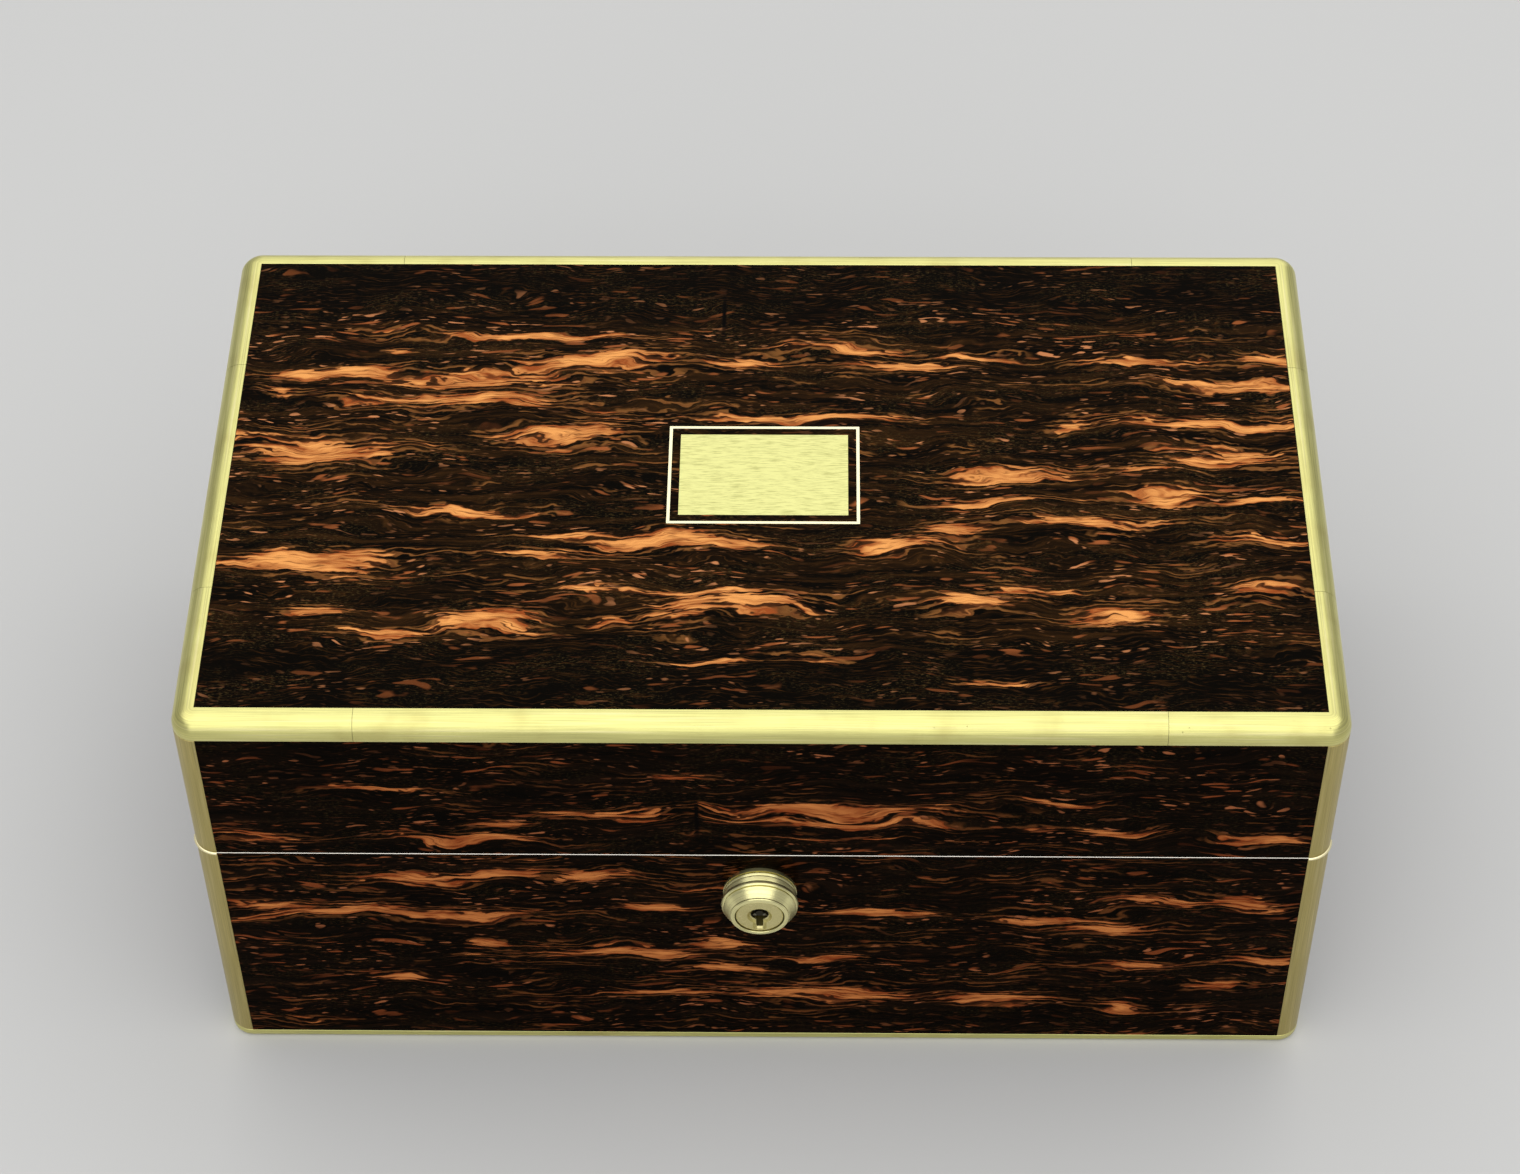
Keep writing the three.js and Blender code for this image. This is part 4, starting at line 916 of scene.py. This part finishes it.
# Hinges.
# Two brass stop hinges let into the back rims. Each has a leaf in the base and one in the lid, a barrel
# of three knuckles round a steel pin, and a flange under each leaf's knuckles that stops the lid.
HINGE_BORE = 1.4 * MM
KNUCKLE = 3 * MM
KNUCKLE_GAP = 0.2 * MM
LEAF_FACE = 0.15 * MM
LEAF_BACK = 1.6 * MM
LEAF_START = 1.5 * MM
LEAF_REACH = 9 * MM
LEAF_ARRIS = 0.12 * MM
STOP_INNER = 2.6 * MM
STOP_OUTER = 5.2 * MM
STOP_START = math.radians(49.5)
STOP_END = math.radians(80)


def tube(radius, bore, start, end, centre):
    """A knuckle: a tube along X with softened ends."""
    outline = softened([(bore, start), (radius, start), (radius, end), (bore, end)], ARRIS)
    return turned(outline, centre, "x", 48)


def extruded(outline, start, end, centre):
    """A closed outline of (y, z) points carried along X from start to end."""
    y, z = np.array(outline).T
    run = np.array([start, end])[:, None]
    return np.stack(np.broadcast_arrays(run, y, z), axis=-1) + np.array(centre)


hinge_brass = brass_finish("hinge_brass", lengthwise=0, tone=(214, 200, 124))
for side in ("left", "right"):
    pin_low, pin_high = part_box("hinge_pin_" + side)
    pin = (pin_low + pin_high) / 2
    half_length = (pin_high.x - pin_low.x) / 2
    middle_end = half_length / 3
    outer_start = middle_end + KNUCKLE_GAP
    finish_node("hinge_pin_" + side, steel)
    for body, sign, spans in (
        ("base", -1, [(-half_length, -outer_start), (outer_start, half_length)]),
        ("lid", 1, [(-middle_end, middle_end)]),
    ):
        leaf = softened(
            [
                (-LEAF_REACH, LEAF_FACE),
                (-LEAF_START, LEAF_FACE),
                (-LEAF_START, LEAF_BACK),
                (-LEAF_REACH, LEAF_BACK),
            ],
            LEAF_ARRIS,
            steps=3,
        ) * (1, sign)
        angles = np.linspace(STOP_START, STOP_END, 9)
        arc = np.stack([np.cos(angles), sign * np.sin(angles)], axis=-1)
        flange = np.concatenate([STOP_INNER * arc, STOP_OUTER * arc[::-1], STOP_INNER * arc[:1]])
        shells = [extruded(leaf, -half_length, half_length, pin)]
        shells += [tube(KNUCKLE, HINGE_BORE, start, end, pin) for start, end in spans]
        shells += [extruded(flange, -half_length, half_length, pin)]
        node = f"hinge_{body}_leaf_{side}"
        make_piece(f"hinge_{body}_{side}", shells, hinge_brass, body, [node])


# Screws.
# Countersunk brass screws with a filed slot: three in each hinge leaf, two in the lock's top plate and
# two in the link plate. The turn of each slot differs a little.
HINGE_SCREW = 1.7 * MM
HINGE_SCREW_INSET = 5.6 * MM
PLATE_SCREW = 1.5 * MM
HEAD_PROUD = 0.04 * MM
HEAD_DOME = 0.08
HEAD_DEPTH = 0.6
SLOT_HALF = 0.17
SLOT_DEPTH = 0.35


def screw_head(centre, radius, facing, turn):
    """A screw's head, flush with its plate. It looks up where facing is 1 and down where it is -1.

    Across the slot the columns stand at fixed places, doubled at the slot's walls. Each column is a chord
    of the head that runs over its slightly domed top and back along its flat underside. The dome, the
    depth and the slot are shares of the radius.
    """
    rim = np.cos(np.linspace(0, np.pi / 2, 9))[:-1]
    walls = [-SLOT_HALF, -SLOT_HALF, SLOT_HALF, SLOT_HALF]
    across = radius * np.concatenate([-rim, walls, rim[::-1]])[:, None]
    beside = np.zeros(len(rim) + 1)
    in_slot = np.concatenate([beside, [1, 1], beside])[:, None]
    shares = np.concatenate([np.linspace(-1, 1, 9), [1, -1, -1]])
    on_top = np.concatenate([np.ones(9), np.zeros(2), np.ones(1)])
    length = np.sqrt(np.maximum(radius ** 2 - across ** 2, 0)) * shares
    dome = HEAD_DOME * radius * (1 - (across ** 2 + length ** 2) / radius ** 2) + HEAD_PROUD
    height = np.where(on_top > 0, dome - in_slot * SLOT_DEPTH * radius, -HEAD_DEPTH * radius)
    x = across * math.cos(turn) - length * math.sin(turn)
    y = across * math.sin(turn) + length * math.cos(turn)
    return np.stack([x, y, facing * height], axis=-1) + np.array(centre)


screw_brass = brass_finish("screw_brass", lengthwise=0, tone=(206, 190, 118))
random = np.random.default_rng(8)
base_screws = []
lid_screws = []
for side in ("left", "right"):
    pin_low, pin_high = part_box("hinge_pin_" + side)
    pin = (pin_low + pin_high) / 2
    for offset in (-22, 0, 22):
        place = (pin.x + offset * MM, pin.y - HINGE_SCREW_INSET)
        base_screws.append(screw_head((*place, pin.z - LEAF_FACE), HINGE_SCREW, 1, random.uniform(0, 3)))
        lid_screws.append(screw_head((*place, pin.z + LEAF_FACE), HINGE_SCREW, -1, random.uniform(0, 3)))
low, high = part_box("lock_body")
for offset in (-33, 33):
    place = (lock_centre.x + offset * MM, (low.y + high.y) / 2, high.z)
    base_screws.append(screw_head(place, PLATE_SCREW, 1, random.uniform(0, 3)))
low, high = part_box("lid_link_plate")
link_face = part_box("lid_veneer_front")[0].z
for offset in (-25, 25):
    place = (lock_centre.x + offset * MM, (low.y + high.y) / 2, link_face)
    lid_screws.append(screw_head(place, PLATE_SCREW, -1, random.uniform(0, 3)))
make_piece("screws_base", base_screws, screw_brass, "base", crease=50)
make_piece("screws_lid", lid_screws, screw_brass, "lid", crease=50)


# Velvet-covered boards.
# The wall linings of the base and the lid, and the lift-out tray with its dividers: thin boards wrapped
# in purple velvet, so every edge is soft.
velvet = Finish("velvet")
velvet_place = velvet.place()
nap = velvet.noise(velvet_place, (9 * MM,) * 3, detail=3, roughness=0.6)
pile = velvet.noise(velvet_place, (0.35 * MM,) * 3, detail=1, seed=2)
velvet_tone = velvet.mix(velvet.ramp(nap, 0.3, 0.75), colour(64, 18, 53), colour(78, 25, 64))
velvet.wear(
    Base_Color=velvet.mix(velvet.times(pile, 0.4), velvet_tone, colour(44, 10, 37)),
    Roughness=0.95,
    Specular_IOR_Level=0.1,
    Sheen_Weight=0.5,
    Sheen_Roughness=0.4,
    Sheen_Tint=colour(170, 110, 160),
    Normal=velvet.bump(pile, 0.12 * MM),
)

LINING_OF_BASE = 3 * MM
LINING_OF_LID = 1 * MM
LINING_CORNER = 1.2 * MM
TRAY_WALL = 4 * MM
TRAY_FLOOR = 3 * MM
TRAY_CORNER = 2.2 * MM
DIVIDER = 3 * MM
DIVIDER_LAP = 0.1 * MM
DIVIDER_ROUNDING = 1.4 * MM
BOARD_ROUNDING = 0.3 * MM
END_WIDTH = 0.9
END_HEIGHT = 0.99


def wrapped_ring(node, thickness, round_top):
    """A board that runs round the inside of a wall, as high as its node."""
    low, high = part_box(node)
    outline = softened(
        [(thickness, low.z), (0, low.z), (0, high.z), (thickness, high.z)],
        (0.2 * MM, 0.1 * MM, 0.1 * MM, round_top),
    )
    return swept(loop_plan(outline[:, 0], high.x, high.y, LINING_CORNER, steps=5), outline[:, 1])


def wrapped_board(low, high, radius, lengthwise):
    """A flat board with soft edges that runs along X (0) or Y (1).

    Its section is carried along it, and drawn in a little at each end, over half the edges' radius.
    """
    side = 1 - lengthwise
    outline = softened(
        [(low[side], low[2]), (high[side], low[2]), (high[side], high[2]), (low[side], high[2])],
        radius,
    )
    start = low[lengthwise]
    end = high[lengthwise]
    run = np.array([start, start + radius / 2, end - radius / 2, end])[:, None]
    widths = np.array([END_WIDTH, 1, 1, END_WIDTH])[:, None]
    heights = np.array([END_HEIGHT, 1, 1, END_HEIGHT])[:, None]
    middle = outline.mean(axis=0)
    width, height = (outline - middle).T
    width = middle[0] + width * widths
    height = middle[1] + height * heights
    return swept((width, run) if lengthwise else (run, width), height)


base_lining = wrapped_ring("base_lining", LINING_OF_BASE, 1.2 * MM)
make_piece("lining_of_base", [base_lining], velvet, "base", ["base_lining"])
lid_lining = wrapped_ring("lid_lining", LINING_OF_LID, 0.1 * MM)
make_piece("lining_of_lid", [lid_lining], velvet, "lid", ["lid_lining"])

low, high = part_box("tray_box")
tray_outline = softened(
    [(TRAY_WALL, low.z), (0, low.z), (0, high.z), (TRAY_WALL, high.z)],
    (0.4 * MM, 0.8 * MM, 1.9 * MM, 1.9 * MM),
    steps=8,
)
tray_plan = loop_plan(tray_outline[:, 0], high.x, high.y, TRAY_CORNER, steps=6)
tray_floor = wrapped_board(
    (low.x + TRAY_WALL / 2, low.y + TRAY_WALL / 2, low.z),
    (high.x - TRAY_WALL / 2, high.y - TRAY_WALL / 2, low.z + TRAY_FLOOR),
    BOARD_ROUNDING,
    0,
)
tray_shells = [swept(tray_plan, tray_outline[:, 1]), tray_floor]
make_piece("tray", tray_shells, velvet, "tray", ["tray_box"])

low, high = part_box("tray_divider_ring_bay")
ring_divider = wrapped_board(low, high, DIVIDER_ROUNDING, 1)
make_piece("divider_ring_bay", [ring_divider], velvet, "tray", ["tray_divider_ring_bay"])
low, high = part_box("tray_divider_end_bays")
end_dividers = [
    wrapped_board(low, (low.x + DIVIDER, high.y, high.z), DIVIDER_ROUNDING, 1),
    wrapped_board(
        (low.x + DIVIDER - DIVIDER_LAP, -DIVIDER / 2, low.z),
        (high.x, DIVIDER / 2, high.z),
        DIVIDER_ROUNDING,
        0,
    ),
]
make_piece("divider_end_bays", end_dividers, velvet, "tray", ["tray_divider_end_bays"])


# Padded pieces.
# The floor pad, the six rolls that hold rings between them, and the buttoned silk in the lid. Each is
# cloth sewn a little larger than its stuffing, so it is puffed up by cloth simulation where it is free.
CLOTH_SCALE = 10
CLOTH_FRAMES = 20


def pillow(low, high, end_squareness, side_squareness, rows=32, columns=40):
    """A rounded box that lies along Y: a superellipse of sections about its middle line.

    With the powers e and s, a point is cos(t)^e along the section's own superellipse
    (cos(w)^s, sin(w)^s), and sin(t)^e along Y. Small powers give flat sides and tight edges.
    """
    def power(values, exponent):
        """The power of each value's size, with the value's own sign."""
        return np.sign(values) * np.abs(values) ** exponent

    t = np.linspace(-np.pi / 2, np.pi / 2, rows + 1)[:, None]
    w = np.linspace(0, 2 * np.pi, columns + 1)
    w[-1] = 0
    size = power(np.cos(t), end_squareness)
    size[0] = size[-1] = 0
    x = size * power(np.cos(w), side_squareness)
    z = size * power(np.sin(w), side_squareness)
    y = np.broadcast_to(power(np.sin(t), end_squareness), x.shape)
    middle = (np.array(low) + np.array(high)) / 2
    half = (np.array(high) - np.array(low)) / 2
    return middle + half * np.stack([x, y, z], axis=-1)


def puffed(piece, hold, cap, pressure, growth):
    """Puffs a closed piece up by cloth simulation, with pressure inside and no gravity.

    hold gives each point's share of being held, from its place. The cloth is larger than the piece by
    growth, so it folds where it is held. It runs at ten times the size, at which the simulation's usual
    weights suit it. No point may move more than cap: the way it went is eased to cap * tanh(way / cap).
    """
    mesh = piece.data
    start = np.empty(3 * len(mesh.vertices), dtype=np.float32)
    mesh.vertices.foreach_get("co", start)
    held = np.round(hold(*start.reshape(-1, 3).T), 1)
    group = piece.vertex_groups.new(name="held")
    for share in np.unique(held):
        group.add(np.flatnonzero(np.isclose(held, share)).tolist(), float(share), "REPLACE")
    mesh.vertices.foreach_set("co", start * CLOTH_SCALE)
    cloth = piece.modifiers.new("stuffing", "CLOTH")
    cloth.settings.quality = 6
    cloth.settings.mass = 0.02
    cloth.settings.tension_stiffness = cloth.settings.compression_stiffness = 12
    cloth.settings.shear_stiffness = 4
    cloth.settings.bending_stiffness = 0.4
    cloth.settings.use_pressure = True
    cloth.settings.uniform_pressure_force = pressure
    cloth.settings.shrink_min = -growth
    cloth.settings.vertex_group_mass = "held"
    cloth.settings.effector_weights.gravity = 0
    for frame_number in range(1, CLOTH_FRAMES + 1):
        bpy.context.scene.frame_set(frame_number)
    settled = piece.evaluated_get(bpy.context.evaluated_depsgraph_get()).data
    end = np.empty_like(start)
    settled.vertices.foreach_get("co", end)
    piece.modifiers.remove(cloth)
    piece.vertex_groups.remove(group)
    bpy.context.scene.frame_set(1)
    way = (end / CLOTH_SCALE - start).reshape(-1, 3)
    length = np.maximum(np.linalg.norm(way, axis=1), 1e-9)[:, None]
    way *= cap * np.tanh(length / cap) / length
    mesh.vertices.foreach_set("co", start + way.ravel())
    mesh.update()
    smooth = piece.modifiers.new("smooth", "SUBSURF")
    smooth.levels = smooth.render_levels = 1


def pad_shell(x, y, face_level, back_level):
    """A pad whose face is a grid of heights over x and y, closed by a flat back at one height."""
    face = np.stack([*np.broadcast_arrays(x, y), face_level], axis=-1)
    back = face[:, [-1, 0]] * (1, 1, 0) + (0, 0, back_level)
    return np.concatenate([face, back, face[:, :1]], axis=1)


def rolled_edge(inside, radius):
    """The share of a pad's height at a distance inside its border: a quarter circle, then 1."""
    return np.sqrt(np.maximum(1 - (1 - np.minimum(inside / radius, 1)) ** 2, 0.002))


FLOOR_PAD_CELL = 4 * MM
FLOOR_PAD_ROLL = 6 * MM
FLOOR_PAD_FILL = 0.76
FLOOR_PAD_HELD = 0.5 * MM
low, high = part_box("base_floor_pad")
floor_pad_base = low.z
stations_x = np.linspace(low.x, high.x, round((high.x - low.x) / FLOOR_PAD_CELL))[:, None]
stations_y = np.linspace(low.y, high.y, round((high.y - low.y) / FLOOR_PAD_CELL))[None, :]
inside = np.minimum(high.x - np.abs(stations_x), high.y - np.abs(stations_y))
pad_height = FLOOR_PAD_FILL * (high.z - low.z) * rolled_edge(inside, FLOOR_PAD_ROLL)
floor_pad = pad_shell(stations_x, stations_y, low.z + pad_height, low.z)


def floor_pad_hold(x, y, z):
    """The pad's flat base is held."""
    return np.where(z < floor_pad_base + FLOOR_PAD_HELD, 1.0, 0.0)


piece = make_piece("floor_pad", [floor_pad], velvet, "base", ["base_floor_pad"], crease=180)
puffed(piece, floor_pad_hold, cap=0.8 * MM, pressure=4, growth=0.015)

ROLLS = 6
ROLL_GAP = 0.45 * MM
ROLL_HELD_DEPTH = 4 * MM
low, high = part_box("tray_ring_cushion")
rolls_middle = (low.z + high.z) / 2
roll_edges = np.linspace(low.x, high.x, ROLLS + 1)
rolls = []
for left, right in zip(roll_edges[:-1], roll_edges[1:]):
    roll_low = (left + ROLL_GAP, low.y, low.z)
    roll_high = (right - ROLL_GAP, high.y, high.z - ROLL_GAP)
    rolls.append(pillow(roll_low, roll_high, end_squareness=0.22, side_squareness=0.62))


def rolls_hold(x, y, z):
    """The lower part of each roll is held, down in the tray."""
    return np.where(z < rolls_middle - ROLL_HELD_DEPTH, 1.0, 0.0)


piece = make_piece("ring_rolls", rolls, velvet, "tray", ["tray_ring_cushion"], crease=180)
puffed(piece, rolls_hold, cap=0.4 * MM, pressure=4, growth=0.03)

silk = Finish("silk")
silk_place = silk.place()
weave = silk.noise(silk_place, (0.25 * MM, 3 * MM, 3 * MM), detail=1)
shot = silk.noise(silk_place, (30 * MM,) * 3, detail=2, seed=6)
silk.wear(
    Base_Color=silk.mix(silk.ramp(shot, 0.3, 0.7), colour(84, 24, 66), colour(112, 40, 90)),
    Roughness=0.42,
    Specular_IOR_Level=0.4,
    Sheen_Weight=0.25,
    Sheen_Roughness=0.35,
    Sheen_Tint=colour(220, 150, 205),
    Normal=silk.bump(weave, 0.03 * MM),
)

# The silk's face starts as shallow diamonds between the buttons and ends rolled under at its border.
DIAMONDS_ACROSS = 6
DIAMONDS_DEEP = 3
CELLS = 12
EDGE_ROLL = 7 * MM
PLEAT_SHARE = 0.52
SWELL_SHARE = 0.14
BUTTON_SHARE = 0.28
BUTTON_BORDER = 7 * MM
BUTTON_BORDER_WIDTH = 10 * MM
BUTTON_RADIUS = 2.6 * MM
BUTTON_HEIGHT = 1.7 * MM
BUTTON_SHANK = 0.5 * MM
PLEAT_WIDTH = 0.01
PLEAT_HOLD = 0.8
SILK_BACK = 0.6 * MM
SILK_BORDER = 0.1 * MM
low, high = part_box("lid_pad")
pad_half_x, pad_half_y, pad_top = high
pad_depth = high.z - low.z
diamond = np.array([2 * pad_half_x / DIAMONDS_ACROSS, 2 * pad_half_y / DIAMONDS_DEEP])


def diagonals(x, y):
    """How far a place is along the lattice's two diagonals: both are whole numbers at a button."""
    return x / diamond[0] + y / diamond[1], x / diamond[0] - y / diamond[1]


def from_edge(x, y):
    """How far a place is inside the pad's border."""
    return np.minimum(pad_half_x - np.abs(x), pad_half_y - np.abs(y))


stations_x = np.linspace(-pad_half_x, pad_half_x, 2 * CELLS * DIAMONDS_ACROSS + 1)[:, None]
stations_y = np.linspace(-pad_half_y, pad_half_y, 2 * CELLS * DIAMONDS_DEEP + 1)[None, :]
edge = from_edge(stations_x, stations_y)
first, second = diagonals(stations_x, stations_y)
swell = np.abs(np.sin(np.pi * first) * np.sin(np.pi * second)) ** 0.5
pull = (np.cos(np.pi * first) * np.cos(np.pi * second)) ** 6
inner = np.clip((edge - BUTTON_BORDER) / BUTTON_BORDER_WIDTH, 0, 1)
fullness = PLEAT_SHARE + SWELL_SHARE * swell - (PLEAT_SHARE - BUTTON_SHARE) * pull * inner
under = pad_top - pad_depth * rolled_edge(edge, EDGE_ROLL) * fullness
pad = pad_shell(stations_x, stations_y, under, pad_top)


def from_button(x, y):
    """How far a place is from the nearest button: they stand at the diamonds' corners and middles."""
    ways = []
    for offset in (0, 0.5):
        columns = x / diamond[0] + offset
        rows = y / diamond[1] + offset
        aside = (columns - np.round(columns)) * diamond[0]
        along = (rows - np.round(rows)) * diamond[1]
        ways.append(np.hypot(aside, along))
    return np.minimum(*ways)


def silk_hold(x, y, z):
    """The back, the border and the buttons are held fast, and the pleats between buttons nearly so."""
    on_pleat = np.min([np.abs(way - np.round(way)) for way in diagonals(x, y)], axis=0) < PLEAT_WIDTH
    at_back = z > pad_top - SILK_BACK
    at_border = from_edge(x, y) < SILK_BORDER
    at_button = from_button(x, y) < BUTTON_RADIUS
    return np.where(at_back | at_border | at_button, 1.0, np.where(on_pleat, PLEAT_HOLD, 0.0))


columns = np.arange(-DIAMONDS_ACROSS + 1, DIAMONDS_ACROSS)
rows = np.arange(-DIAMONDS_DEEP + 1, DIAMONDS_DEEP)
turns = np.linspace(0, np.pi / 2, 7)
dome = [(BUTTON_RADIUS * math.sin(turn), -BUTTON_HEIGHT * math.cos(turn)) for turn in turns]
button_profile = [*dome, (BUTTON_RADIUS * 0.9, BUTTON_SHANK), (0, BUTTON_SHANK), dome[0]]
button_level = pad_top - BUTTON_SHARE * pad_depth
buttons = [
    turned(button_profile, (column * diamond[0] / 2, row * diamond[1] / 2, button_level), "z", 20)
    for column in columns for row in rows if (column + row) % 2 == 0
]
piece = make_piece("silk_pad", [pad], silk, "lid", ["lid_pad"], crease=180)
puffed(piece, silk_hold, cap=4 * MM, pressure=4, growth=0.06)
make_piece("silk_buttons", buttons, silk, "lid", crease=60)


# Underside.
# A sheet of dark green baize glued to the bottom board.
baize = Finish("baize")
felt = baize.noise(baize.place(), (0.5 * MM,) * 3, detail=3, roughness=0.7)
baize.wear(
    Base_Color=baize.mix(felt, colour(22, 46, 32), colour(48, 86, 62)),
    Roughness=0.95,
    Specular_IOR_Level=0.1,
    Sheen_Weight=0.3,
    Sheen_Roughness=0.5,
    Normal=baize.bump(felt, 0.15 * MM),
)
low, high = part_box("base_underside_cloth")
cloth_sheet = wrapped_board(low, high, BOARD_ROUNDING, 0)
piece = make_piece("underside_baize", [cloth_sheet], baize, "base", ["base_underside_cloth"])
